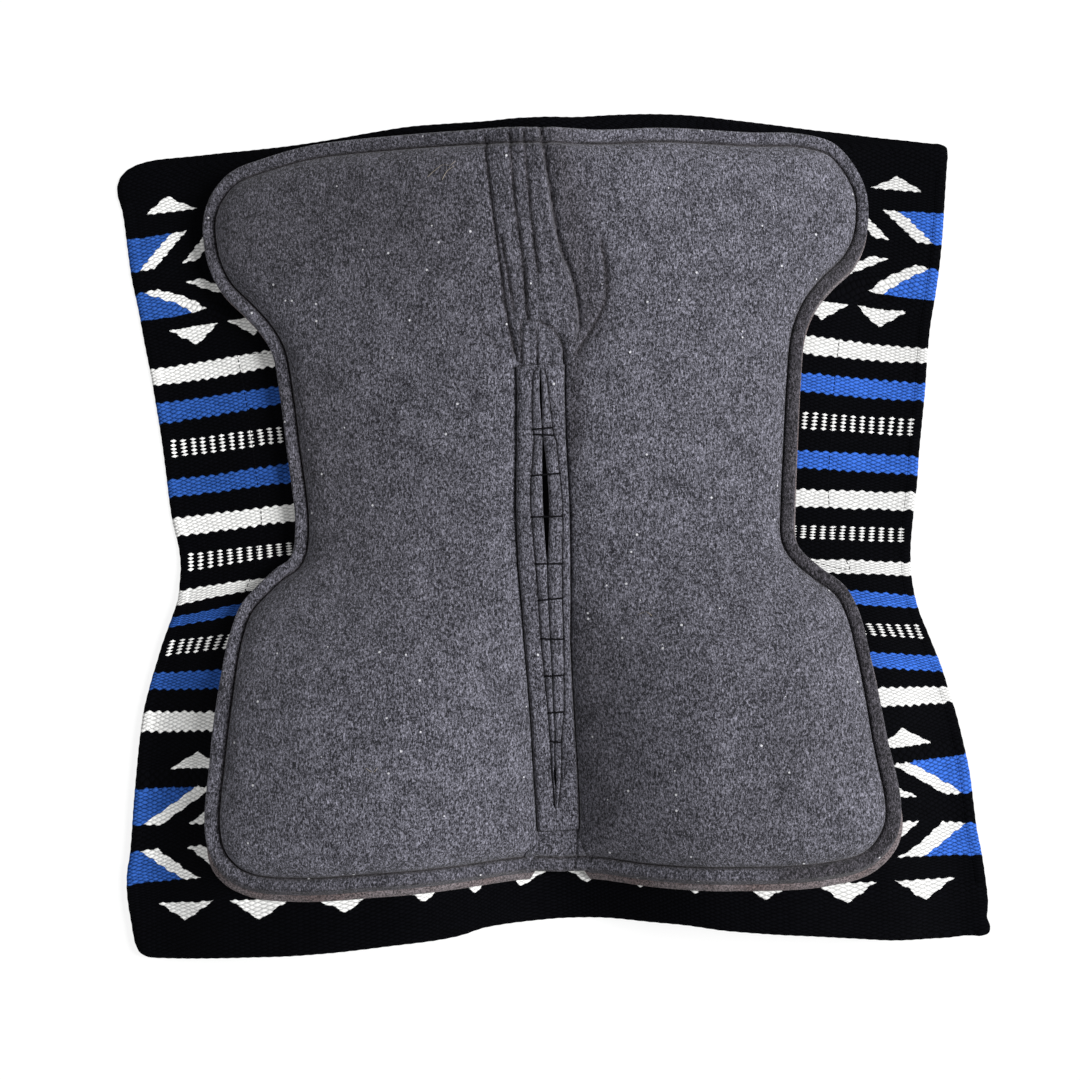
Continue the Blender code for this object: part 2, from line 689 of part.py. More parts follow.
def gusset_loop(v_strip, ahead):
    """Right half of a gusset, from the strip's end to the felt's edge, clear of the sides."""
    rim = [p for p in evenly(FELT_EDGE, FINE_FACET_ACROSS)
           if (p.y > v_strip) == ahead and p.x < channel_half(p.y) - 2 * PLAY]
    if not ahead:
        rim = rim[::-1]
    side = panel_loop(0, 0)
    corner = max(side, key=lambda p: p.y - p.x) if ahead else min(side, key=lambda p: p.y + p.x)
    rim[-1] = corner - Vector((PLAY, 0.0))
    wall = channel_wall(min(corner.y, v_strip), max(corner.y, v_strip), -PLAY)
    if ahead:
        wall = wall[::-1]
    base = evenly([Vector((channel_half(v_strip) - PLAY, v_strip)), Vector((0.0, v_strip))],
                  FINE_FACET_ACROSS)
    spine = evenly([Vector((0.0, v_strip)), rim[0]], FINE_FACET)[1:-1]
    return rim + wall + base + spine


def build_gussets():
    """Pleated felt that joins the two sides in front of the strip and behind it."""
    grey_felt = material("gusset_felt", (0.14, 0.135, 0.15), 0.95)
    front = (STRIP_FRONT + PLAY, FRONT_GUSSET_HALF_WIDTH, FRONT_CREASE_SHARES)
    rear = (STRIP_REAR - PLAY, REAR_GUSSET_HALF_WIDTH, REAR_CREASE_SHARES)
    for name, ahead, (v_strip, half_width, crease_shares) in (("front_gusset", True, front),
                                                              ("rear_gusset", False, rear)):
        loop = gusset_loop(v_strip, ahead)
        edge = FELT_EDGE[0].y if ahead else FELT_EDGE[-1].y
        spots = lattice(FINE_FACET_ACROSS, FINE_FACET, loop, [closed(loop)], FINE_FACET_ACROSS / 2)
        flat = region(triangulate([loop], spots=spots), loop)
        low = region(triangulate([loop]), loop)
        add_layer(name, low, flat, loop, level(BLANKET_THICK + GUSSET_PLAY),
                  gusset_top(crease_shares, half_width, v_strip, edge), (1, -1), grey_felt)


def build():
    for old in list(bpy.data.objects):
        bpy.data.objects.remove(old, do_unlink=True)
    outer = evenly(BLANKET_EDGE, FACET)
    spine = evenly([outer[-1], outer[0]], FACET_ALONG)[1:-1]
    blanket_loop = outer + spine
    panel = panel_loop(0, 0)
    hem = hem_line(outer, HEM_SET_BACK + HEM_WIDTH)
    paths = [closed(blanket_loop), closed(panel), hem]
    spots = lattice(FACET_ACROSS, FACET_ALONG, blanket_loop, paths, FACET / 3)
    base = triangulate([blanket_loop, panel], [hem], spots)
    build_blanket(blanket_loop, base)
    build_hems(outer)
    build_leathers(spots, panel)
    build_sides(panel, base)
    build_spine()
    build_gussets()


build()
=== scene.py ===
"""Western saddle pad, laid felt side up on a pale floor.

u runs across the pad and v along it, in plan, and h is the height above the underside of the
woven blanket. relief() is how the pad lies, and lay() lifts every flat point onto it.
"""
import math

import bpy
import numpy as np
from mathutils import Matrix, Vector
from mathutils.geometry import delaunay_2d_cdt


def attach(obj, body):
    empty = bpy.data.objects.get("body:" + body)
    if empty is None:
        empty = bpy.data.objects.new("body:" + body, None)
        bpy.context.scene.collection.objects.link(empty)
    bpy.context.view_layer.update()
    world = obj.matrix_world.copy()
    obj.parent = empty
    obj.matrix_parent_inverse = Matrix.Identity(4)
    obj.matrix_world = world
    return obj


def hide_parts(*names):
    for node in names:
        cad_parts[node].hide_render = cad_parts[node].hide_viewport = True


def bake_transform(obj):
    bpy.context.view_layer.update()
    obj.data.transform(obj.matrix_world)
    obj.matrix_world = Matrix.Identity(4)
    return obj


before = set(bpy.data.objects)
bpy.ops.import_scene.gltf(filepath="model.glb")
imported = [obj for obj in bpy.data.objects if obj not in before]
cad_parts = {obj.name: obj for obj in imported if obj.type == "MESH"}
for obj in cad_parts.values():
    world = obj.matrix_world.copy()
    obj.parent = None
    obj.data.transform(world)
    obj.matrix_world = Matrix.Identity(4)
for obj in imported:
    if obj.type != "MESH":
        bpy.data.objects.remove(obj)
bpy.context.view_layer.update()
bpy.ops.object.select_all(action="DESELECT")

MM = 0.001


# How the pad lies

def smooth(t):
    t = np.clip(t, 0.0, 1.0)
    return t * t * (3 - 2 * t)


def spine_height(v):
    slope = 0.115 / 0.768
    past = v + 0.3355
    eased = slope * (past + 0.05) ** 2 / 0.2
    return np.where(past > 0.05, slope * past, np.where(past < -0.05, 0.0, eased))


def roof_share(s):
    t = s / 0.375
    k = 0.08
    share = np.where(t < k, 1 - t * t / (2 * k) - k / 2, 1 - t)
    share = np.where(t > 1 - k, np.clip(1 + k - t, 0, None) ** 2 / (4 * k), share)
    return share / (1 - k / 2)


def hump_share(s):
    fall = 0.35 * smooth((s - 0.220) / 0.130) + 0.55 * smooth((s - 0.330) / 0.100)
    return smooth(s / 0.170) * (1 - fall)


def relief(u, v):
    s = np.abs(u)
    hump = 0.062 * smooth((0.035 - v) / 0.250)
    return spine_height(v) * roof_share(s) + hump * hump_share(s)


def lay(u, v, h):
    """The places of flat points (u, v) at heights h over the blanket's underside."""
    u, v, h = np.broadcast_arrays(*(np.asarray(x, float) for x in (u, v, h)))
    probe = 0.0005
    across = (relief(u + probe, v) - relief(u - probe, v)) / (2 * probe)
    along = (relief(u, v + probe) - relief(u, v - probe)) / (2 * probe)
    normal = np.stack([-across, -along, np.ones_like(u)], -1)
    normal /= np.linalg.norm(normal, axis=-1, keepdims=True)
    place = np.stack([u, v, relief(u, v) - 0.0005], -1) + normal * h[..., None]
    place[..., 2] = np.where(h <= 0.002, np.maximum(place[..., 2], 0.0), place[..., 2])
    return place


SIDES = ((1, "right"), (-1, "left"))

# Outlines from the front of the spine round to its rear, in mm. u counts outwards on both sides.
BLANKET_RIGHT = (
    (0, 420), (43, 422), (85, 427.5), (128, 432), (172, 434), (216, 433), (261, 431.5),
    (307, 429.5), (354, 428), (400, 423.5), (440, 417.5), (453, 415.8), (458.5, 412.5),
    (459.5, 406), (457.5, 390), (453, 354), (448.5, 318), (443, 282), (436, 247),
    (428, 211.5), (422.5, 176),
    (418, 141), (412.5, 106), (407, 71), (402.5, 36), (396, 1.3), (390.5, -33), (389, -60),
    (391, -85), (395, -103), (401, -120), (407, -137), (413, -154), (418, -171.6), (422, -188),
    (427, -206), (433.5, -240), (438, -270), (440, -300), (442, -332), (445, -353), (447.5, -380),
    (448.7, -407), (446.8, -423), (449.5, -432), (447, -438.5), (440, -440.5), (426, -439.5),
    (404, -440), (380, -438.5), (334, -435.5), (292, -430.5), (250, -425.3), (209, -421.3),
    (168.7, -416.7), (129, -411), (90, -408.7), (50, -406.4), (0, -406.7),
)
BLANKET_LEFT = (
    (0, 420), (42, 421.2), (84, 424.7), (127, 428), (171, 428), (215, 427.2), (260, 427.5),
    (306, 429.4), (353, 432), (399, 431.7), (421, 429.6), (438, 425), (449, 418.5), (455.5, 410),
    (458, 400), (457, 390), (453, 376), (450.5, 360), (447.6, 334), (443, 297.6), (436, 261.6),
    (430, 225.7), (423.5, 190), (418, 154.4), (412.8, 119), (408.7, 84), (405, 49), (401.5, 25),
    (395.5, 0), (393.3, -21), (394.2, -38.6), (396, -56), (401.5, -73), (408, -90), (414, -106),
    (419.4, -123), (425, -140), (434, -173.6), (439, -207), (442.7, -240.6), (446, -274),
    (448.6, -307), (450.5, -325), (453.5, -342), (454, -360), (452.5, -377), (450, -392),
    (447.5, -408), (445, -418), (440, -426), (431, -430), (419, -431), (397, -431), (350.5, -428.7),
    (286, -427), (244, -424.3), (204, -421.4), (163, -418), (123, -416), (103, -414), (83, -409.7),
    (63, -408.2), (21, -407.3), (0, -406.7),
)
FELT_RIGHT = (
    (0.0, 407.5), (60.1, 408.1), (135.0, 415.4), (229.9, 417.4), (284.9, 420.0), (324.1, 411.9),
    (346.9, 388.2), (359.9, 360.1), (361.0, 329.9), (354.0, 300.1), (339.4, 276.0), (314.2, 252.9),
    (294.6, 229.4), (281.6, 200.1), (274.2, 150.1), (269.4, 100.0), (262.1, 15.1), (260.1, -21.8),
    (266.5, -36.1), (284.4, -54.0), (308.2, -73.9), (320.5, -100.1), (329.2, -154.8),
    (338.1, -225.1), (349.0, -295.0), (345.4, -324.4), (330.6, -346.4), (310.5, -359.5),
    (264.7, -367.0), (180.0, -367.0), (100.3, -363.0), (40.2, -356.4), (0.0, -356.6),
)
FELT_LEFT = (
    (0.0, 407.5), (60.1, 412.3), (135.0, 417.5), (229.9, 420.7), (284.9, 414.0), (320.9, 405.2),
    (343.4, 385.8), (355.9, 360.1), (357.0, 329.9), (350.8, 300.1), (337.1, 272.6), (312.9, 246.1),
    (294.1, 223.1), (282.3, 200.1), (275.0, 150.1), (270.4, 100.0), (263.4, 15.1), (268.6, -21.8),
    (282.5, -31.6), (301.0, -48.1), (320.9, -70.0), (332.0, -100.1), (341.0, -154.8),
    (350.1, -225.1), (356.9, -295.0), (350.8, -326.1), (336.2, -345.6), (311.9, -357.4),
    (264.6, -361.9), (180.1, -359.5), (100.5, -356.6), (40.4, -354.0), (0.0, -356.6),
)
LEATHER = (
    (337.0, 215.5), (326.2, 153.6), (319.0, 91.8), (312.7, 23.0), (319.0, -21.0), (328.9, -59.5),
    (283.0, -54.0), (225.4, -21.0), (175.0, 28.5), (157.0, 84.9), (169.6, 139.9), (218.2, 188.0),
    (277.6, 211.4),
)


def curve_through(points, step):
    """A smooth curve through the points, given in mm, with its points an even step apart."""
    points = [Vector(p) * MM for p in points]
    ends = [2 * points[0] - points[1]] + points + [2 * points[-1] - points[-2]]
    made = []
    for a, b, c, d in zip(ends, ends[1:], ends[2:], ends[3:]):
        t1 = math.sqrt((b - a).length)
        t2 = t1 + math.sqrt((c - b).length)
        t3 = t2 + math.sqrt((d - c).length)
        for i in range(12):
            t = t1 + (t2 - t1) * i / 12
            p = a + (b - a) * (t / t1)
            q = b + (c - b) * ((t - t1) / (t2 - t1))
            r = c + (d - c) * ((t - t2) / (t3 - t2))
            m = p + (q - p) * (t / t2)
            n = q + (r - q) * ((t - t1) / (t3 - t1))
            made.append(m + (n - m) * ((t - t1) / (t2 - t1)))
    made.append(points[-1])
    return evenly(np.array(made), step)


def evenly(path, step):
    """The same path with its points an even step apart."""
    run = np.concatenate([[0.0], np.cumsum(np.linalg.norm(np.diff(path, axis=0), axis=1))])
    count = max(2, int(round(run[-1] / step)) + 1)
    target = np.linspace(0.0, run[-1], count)
    return np.stack([np.interp(target, run, path[:, i]) for i in range(2)], -1)


def distance(points, path):
    """Distance of flat points from a path."""
    points = np.asarray(points, float).reshape(-1, 2)
    a, b = path[:-1], path[1:]
    run = b - a
    square = np.maximum((run ** 2).sum(-1), 1e-12)
    found = []
    for start in range(0, len(points), 4000):
        p = points[start:start + 4000, None, :]
        share = np.clip(((p - a) * run).sum(-1) / square, 0, 1)
        found.append(np.linalg.norm(p - a - run * share[..., None], axis=-1).min(1))
    return np.concatenate(found)


def within(points, loop):
    """Which flat points lie inside a closed loop."""
    points = np.asarray(points, float).reshape(-1, 2)
    a, b = loop, np.roll(loop, -1, axis=0)
    found = []
    for start in range(0, len(points), 4000):
        x = points[start:start + 4000, None, 0]
        y = points[start:start + 4000, None, 1]
        crosses = (a[:, 1] > y) != (b[:, 1] > y)
        rise = np.where(np.abs(b[:, 1] - a[:, 1]) < 1e-12, 1e-12, b[:, 1] - a[:, 1])
        at = a[:, 0] + (b[:, 0] - a[:, 0]) * (y - a[:, 1]) / rise
        found.append((crosses & (x < at)).sum(1) % 2 == 1)
    return np.concatenate(found)


def beside(run):
    """Unit steps to the right of the directions in which a path runs."""
    run = run / np.linalg.norm(run, axis=1, keepdims=True)
    return np.stack([run[:, 1], -run[:, 0]], -1)


def beside_loop(loop):
    return beside(np.roll(loop, -1, axis=0) - np.roll(loop, 1, axis=0))


def inset(path, gap):
    """The path moved inwards, without the points that would cross."""
    moved = path + beside(np.gradient(path, axis=0)) * gap
    return moved[distance(moved, path) > gap - 0.0002]


BLANKET_EDGE = {1: curve_through(BLANKET_RIGHT, 0.0028), -1: curve_through(BLANKET_LEFT, 0.0028)}
FELT_EDGE = {1: curve_through(FELT_RIGHT, 0.004), -1: curve_through(FELT_LEFT, 0.004)}
MIRROR = np.array([-1.0, 1.0])

# The strip's two edges and the seams of its lips, each (v, u) in mm
STRIP_FRONT, STRIP_REAR = 0.168, -0.313
STRIP_EDGES = {
    1: ((-313, 26.5), (-285, 27.2), (-243, 26.6), (-178, 24.2), (-116, 21.8), (-75, 22.6),
        (-39, 22.8), (28, 23.0), (93, 21.6), (140, 21.9), (168, 22.8)),
    -1: ((-313, 24.6), (-285, 24.8), (-243, 25.6), (-178, 26.8), (-116, 28.4), (-75, 28.6),
         (-39, 29.4), (28, 28.2), (93, 24.9), (140, 22.8), (168, 22.4)),
}
LIP_SEAMS = {
    1: ((-290, 0.6), (-283, 2.5), (-265, 6.0), (-243, 8.4), (-215, 9.4), (-192, 13.6), (-154, 15.0),
        (-116, 15.2), (-75, 14.4), (-39, 14.6), (0, 16.0), (28, 16.4), (50, 15.0), (70, 13.6),
        (90, 12.2), (97, 10.2), (103, 9.4), (130, 7.2), (152, 5.4), (162, 3.8), (166, 1.0)),
    -1: ((-290, 0.6), (-283, 1.6), (-265, 2.8), (-243, 4.0), (-215, 5.0), (-192, 6.0), (-154, 8.4),
         (-116, 10.8), (-75, 11.2), (-39, 12.0), (0, 13.4), (28, 14.4), (50, 13.0), (70, 10.6),
         (90, 8.2), (103, 9.2), (130, 8.8), (152, 7.6), (162, 5.6), (166, 1.0)),
}


def along_strip(table, v):
    at, across = np.array(table).T * MM
    return np.interp(v, at, across)


def channel_wall(v, side):
    """Distance from the spine to the felt's wall beside the strip."""
    return along_strip(STRIP_EDGES[side], v) + 0.0005


# Meshes from flat shapes

def triangles(loop, spots, rows=()):
    """Flat triangles over a closed loop, with free spots and open rows inside it."""
    points = [Vector(p) for p in loop]
    edges = [(i, (i + 1) % len(loop)) for i in range(len(loop))]
    for row in rows:
        start = len(points)
        points.extend(Vector(p) for p in row)
        edges.extend((start + i, start + i + 1) for i in range(len(row) - 1))
    points.extend(Vector(p) for p in spots)
    verts, _, faces, *_ = delaunay_2d_cdt(points, edges, [], 1, 1e-7)
    return np.array([tuple(v) for v in verts]), [tuple(f) for f in faces]


def lattice(across, along, loop):
    """Free spots in staggered rows, inside a loop."""
    low, high = loop.min(0), loop.max(0)
    spots = []
    for j, v in enumerate(np.arange(low[1], high[1], along)):
        shift = across / 2 if j % 2 else 0.0
        u = np.arange(low[0] + shift, high[0], across)
        spots.append(np.stack([u, np.full_like(u, v)], -1))
    spots = np.concatenate(spots)
    return spots[within(spots, loop)]


def add_object(name, verts, faces, finish):
    mesh = bpy.data.meshes.new(name)
    mesh.from_pydata([tuple(v) for v in verts], [], faces)
    mesh.materials.append(finish)
    mesh.polygons.foreach_set("use_smooth", [True] * len(mesh.polygons))
    mesh.update()
    made = bpy.data.objects.new(name, mesh)
    bpy.context.scene.collection.objects.link(made)
    return made


def level(height):
    """A layer's face at one height."""
    def face(u, v):
        return np.full_like(u, height)
    return face


def shell(name, loop, spots, low, high, finish, rows=(), wall=(), low_spots=None, spread=None):
    """A closed layer: its underside, its top, and a wall with rings at (share, outset) stations.

    spread scales the outsets along the loop.
    """
    if (loop[:, 0] * np.roll(loop[:, 1], -1) - np.roll(loop[:, 0], -1) * loop[:, 1]).sum() < 0:
        loop = loop[::-1]
    count = len(loop)
    top, top_faces = triangles(loop, spots, rows)
    low_spots = spots if low_spots is None else low_spots
    bottom, bottom_faces = triangles(loop, low_spots)
    out = beside_loop(loop)
    verts = [lay(bottom[:, 0], bottom[:, 1], low(bottom[:, 0], bottom[:, 1]))]
    flat = [bottom]
    rings = [np.arange(count)]
    start = len(bottom)
    edge_low = low(loop[:, 0], loop[:, 1])
    edge_high = high(loop[:, 0], loop[:, 1])
    for share, outset in wall:
        ring = loop + out * outset * (1.0 if spread is None else spread(loop)[:, None])
        verts.append(lay(ring[:, 0], ring[:, 1], edge_low + (edge_high - edge_low) * share))
        flat.append(ring)
        rings.append(start + np.arange(count))
        start += count
    verts.append(lay(top[:, 0], top[:, 1], high(top[:, 0], top[:, 1])))
    flat.append(top)
    rings.append(start + np.arange(count))
    faces = [tuple(reversed(f)) for f in bottom_faces]
    for below, above in zip(rings, rings[1:]):
        for i in range(count):
            j = (i + 1) % count
            faces.append((below[i], below[j], above[j], above[i]))
    faces.extend(tuple(i + start for i in f) for f in top_faces)
    faces = [tuple(int(i) for i in f) for f in faces]
    return add_object(name, np.concatenate(verts), faces, finish), np.concatenate(flat)


def turn_out(made):
    """Turns the faces of a closed piece outwards."""
    bpy.context.view_layer.objects.active = made
    made.select_set(True)
    bpy.ops.object.mode_set(mode="EDIT")
    bpy.ops.mesh.select_all(action="SELECT")
    bpy.ops.mesh.normals_make_consistent(inside=False)
    bpy.ops.object.mode_set(mode="OBJECT")
    made.select_set(False)
    return made


def sweep(name, stations, finish):
    """A solid from rings of places, one ring per station."""
    stations = np.asarray(stations)
    length, around = stations.shape[:2]
    faces = []
    for i in range(length - 1):
        for j in range(around):
            k = (j + 1) % around
            a, b = i * around, (i + 1) * around
            faces.append((a + j, a + k, b + k, b + j))
    faces.append(tuple(range(around))[::-1])
    faces.append(tuple((length - 1) * around + j for j in range(around)))
    return turn_out(add_object(name, stations.reshape(-1, 3), faces, finish))


def lay_uv(made, flat):
    """Writes a flat coordinate of every vertex, in metres, to the piece's UV map."""
    layer = made.data.uv_layers.new(name="weave")
    corners = np.zeros(len(made.data.loops), np.int32)
    made.data.loops.foreach_get("vertex_index", corners)
    layer.data.foreach_set("uv", flat[corners].astype(np.float32).ravel())


# Materials

class Value:
    """A number in a node tree: each sum with it adds one math node to that tree."""

    def __init__(self, socket):
        self.socket = socket

    def __add__(self, other):
        return step("ADD", self, other)

    def __radd__(self, other):
        return step("ADD", other, self)

    def __sub__(self, other):
        return step("SUBTRACT", self, other)

    def __rsub__(self, other):
        return step("SUBTRACT", other, self)

    def __mul__(self, other):
        return step("MULTIPLY", self, other)

    def __truediv__(self, other):
        return step("DIVIDE", self, other)

    def __mod__(self, other):
        return step("MODULO", self, other)

    def __pow__(self, other):
        return step("POWER", self, other)

    def __lt__(self, other):
        return step("LESS_THAN", self, other)

    def __gt__(self, other):
        return step("GREATER_THAN", self, other)

    def __abs__(self):
        return step("ABSOLUTE", self)


def feed(socket, value):
    """Links a value or an output to an input, or sets a plain number or colour there."""
    if isinstance(value, Value):
        value = value.socket
    if isinstance(value, bpy.types.NodeSocket):
        socket.id_data.links.new(value, socket)
    else:
        socket.default_value = value


def new_node(kind, *values):
    """A node in the tree of the first value among the values."""
    tree = next(value.socket.id_data for value in values if isinstance(value, Value))
    return tree.nodes.new(kind)


def step(operation, *values):
    """One math node on numbers and values."""
    node = new_node("ShaderNodeMath", *values)
    node.operation = operation
    for socket, value in zip(node.inputs, values):
        feed(socket, value)
    return Value(node.outputs[0])


def mixed(share, first, second):
    """A number between two others."""
    node = new_node("ShaderNodeMix", share, first, second)
    feed(node.inputs[0], share)
    feed(node.inputs[2], first)
    feed(node.inputs[3], second)
    return Value(node.outputs[0])


def ranged(value, low, high, to_low=0.0, to_high=1.0):
    node = new_node("ShaderNodeMapRange", value)
    for socket, number in zip(node.inputs, (value, low, high, to_low, to_high)):
        feed(socket, number)
    return Value(node.outputs[0])


def band(value, low, high):
    """1 where value is between low and high."""
    return step("COMPARE", value, (low + high) / 2, (high - low) / 2)


def noise(place, scale, detail=2.0, rough=0.5, distort=0.0):
    node = place.id_data.nodes.new("ShaderNodeTexNoise")
    for name, number in (("Scale", scale), ("Detail", detail), ("Roughness", rough),
                         ("Distortion", distort)):
        node.inputs[name].default_value = number
    feed(node.inputs["Vector"], place)
    return Value(node.outputs["Fac"])


def blend_colours(tree, share, first, second, kind="MIX"):
    node = tree.nodes.new("ShaderNodeMix")
    node.data_type = "RGBA"
    node.blend_type = kind
    feed(node.inputs[0], share)
    feed(node.inputs[6], first)
    feed(node.inputs[7], second)
    return node.outputs[2]


def object_place(tree):
    return tree.nodes.new("ShaderNodeTexCoord").outputs["Object"]


def tree_of(name, roughness, sheen=0.0, specular=0.2):
    made = bpy.data.materials.new(name)
    made.use_nodes = True
    shader = made.node_tree.nodes["Principled BSDF"]
    shader.inputs["Roughness"].default_value = roughness
    shader.inputs["Specular IOR Level"].default_value = specular
    shader.inputs["Sheen Weight"].default_value = sheen
    shader.inputs["Sheen Roughness"].default_value = 0.6
    return made, made.node_tree, shader


def bumped(shader, height, strength, depth):
    node = shader.id_data.nodes.new("ShaderNodeBump")
    node.inputs["Strength"].default_value = strength
    node.inputs["Distance"].default_value = depth
    feed(node.inputs["Height"], height)
    feed(shader.inputs["Normal"], node.outputs["Normal"])


def grey(level):
    return (level, level, level, 1.0)


WHITE = grey(1.0)


def group_of(name, inputs):
    """A group with named inputs, each (name, kind), that puts out a colour and a height."""
    group = bpy.data.node_groups.new(name, "ShaderNodeTree")
    for socket, kind in inputs:
        group.interface.new_socket(socket, in_out="INPUT", socket_type="NodeSocket" + kind)
    group.interface.new_socket("Colour", in_out="OUTPUT", socket_type="NodeSocketColor")
    group.interface.new_socket("Height", in_out="OUTPUT", socket_type="NodeSocketFloat")
    given, shown = group.nodes.new("NodeGroupInput"), group.nodes.new("NodeGroupOutput")
    return group, given.outputs, shown.inputs


def fibres(place, turn):
    """Short streaks that lie in one direction."""
    node = place.id_data.nodes.new("ShaderNodeMapping")
    node.inputs["Rotation"].default_value = (0.0, 0.0, turn)
    node.inputs["Scale"].default_value = (1.0, 0.30, 1.0)
    feed(node.inputs["Vector"], place)
    return noise(node.outputs[0], 780.0, 1.0, 0.6, 0.9)


def felt_group():
    """Needled wool felt: mixed dark and pale fibres, mottling, bright stray fibres, and painted
    shade where its shade input marks it.
    """
    group, given, shown = group_of("needled_felt", (
        ("Place", "Vector"), ("Dark", "Color"), ("Light", "Color"), ("Worn", "Float"),
        ("Flecks From", "Float")))
    place = given["Place"]
    fine = step("MAXIMUM", fibres(place, 0.6), fibres(place, -0.9))
    grain = noise(place, 460.0, 1.0, 0.6, 0.8)
    cloud = noise(place, 34.0, 3.0, 0.6)
    mix = fine * 0.6 + grain * 0.4 + (cloud - 0.5) * 0.12
    share = ranged(mix, 0.44, 0.70) ** 1.5
    colour = blend_colours(group, share, given["Dark"], given["Light"])
    # Painted shade: the felt is multiplied darker and browner where the shade input marks it.
    tint_and_shade = blend_colours(group, given["Worn"], WHITE, (0.25, 0.213, 0.196, 1.0))
    colour = blend_colours(group, 1.0, colour, tint_and_shade, "MULTIPLY")
    cells = group.nodes.new("ShaderNodeTexVoronoi")
    cells.inputs["Scale"].default_value = 150.0
    feed(cells.inputs["Vector"], place)
    chance = group.nodes.new("ShaderNodeSeparateColor")
    feed(chance.inputs[0], cells.outputs["Color"])
    near = Value(cells.outputs["Distance"]) < 0.19
    rare = Value(chance.outputs[0]) > given["Flecks From"]
    colour = blend_colours(group, near * rare * 0.7, colour, (0.70, 0.70, 0.73, 1.0))
    feed(shown["Colour"], colour)
    feed(shown["Height"], fine * 0.7 + grain)
    return group


def thread_group():
    """Twisted or foamed matter, a little uneven in its tone."""
    group, given, shown = group_of("uneven_thread", (
        ("Place", "Vector"), ("Dark", "Color"), ("Light", "Color")))
    twist = noise(given["Place"], 1500.0, 2.0)
    feed(shown["Colour"], blend_colours(group, twist, given["Dark"], given["Light"]))
    feed(shown["Height"], twist)
    return group


FELT_GROUP = felt_group()
THREAD_GROUP = thread_group()


def group_finish(made, tree, shader, group, strength, depth, **values):
    """Shows a group's colour and height in a material, with the material's own values."""
    node = tree.nodes.new("ShaderNodeGroup")
    node.node_tree = group
    feed(node.inputs["Place"], object_place(tree))
    for name, value in values.items():
        feed(node.inputs[name.replace("_", " ")], value)
    feed(shader.inputs["Base Color"], node.outputs["Colour"])
    bumped(shader, node.outputs["Height"], strength, depth)
    return made


def felt_finish(name, dark, light, flecks_from=0.978):
    made, tree, shader = tree_of(name, 0.95, sheen=0.1, specular=0.1)
    # The mesh attribute read here holds the felt's painted shade.
    wear_and_shade = tree.nodes.new("ShaderNodeAttribute")
    wear_and_shade.attribute_name = "wear_and_shade"
    return group_finish(made, tree, shader, FELT_GROUP, 0.8, 0.0013, Dark=dark, Light=light,
                        Worn=wear_and_shade.outputs["Fac"], Flecks_From=flecks_from)


def thread_finish(name, colour, roughness=0.8, gloss=0.1):
    made, tree, shader = tree_of(name, roughness, specular=gloss)
    darker = tuple(0.6 * c for c in colour[:3]) + (1.0,)
    return group_finish(made, tree, shader, THREAD_GROUP, 0.3, 0.0004, Dark=darker, Light=colour)


# The weave in mm: the warps' spacing, a weft's height, and the middle of the cloth to its side
RIB, WEFT, CLOTH_SIDE = 11.0, 3.8, 474.0
# The line between the two rows of slanted bars, from the middle of the pattern, in mm
BAR_LINE = 302.0
BLACK_WOOL = (0.0018, 0.0019, 0.0028, 1.0)
# Each pair below runs from the left side of the cloth to the right, with painted light in it: the
# white lighter towards the left and the blue lighter towards the right.
BLUE_WOOL = (0.033, 0.115, 0.450, 1.0), (0.040, 0.137, 0.575, 1.0)
WHITE_WOOL = (0.95, 0.95, 0.935, 1.0), (0.68, 0.68, 0.67, 1.0)


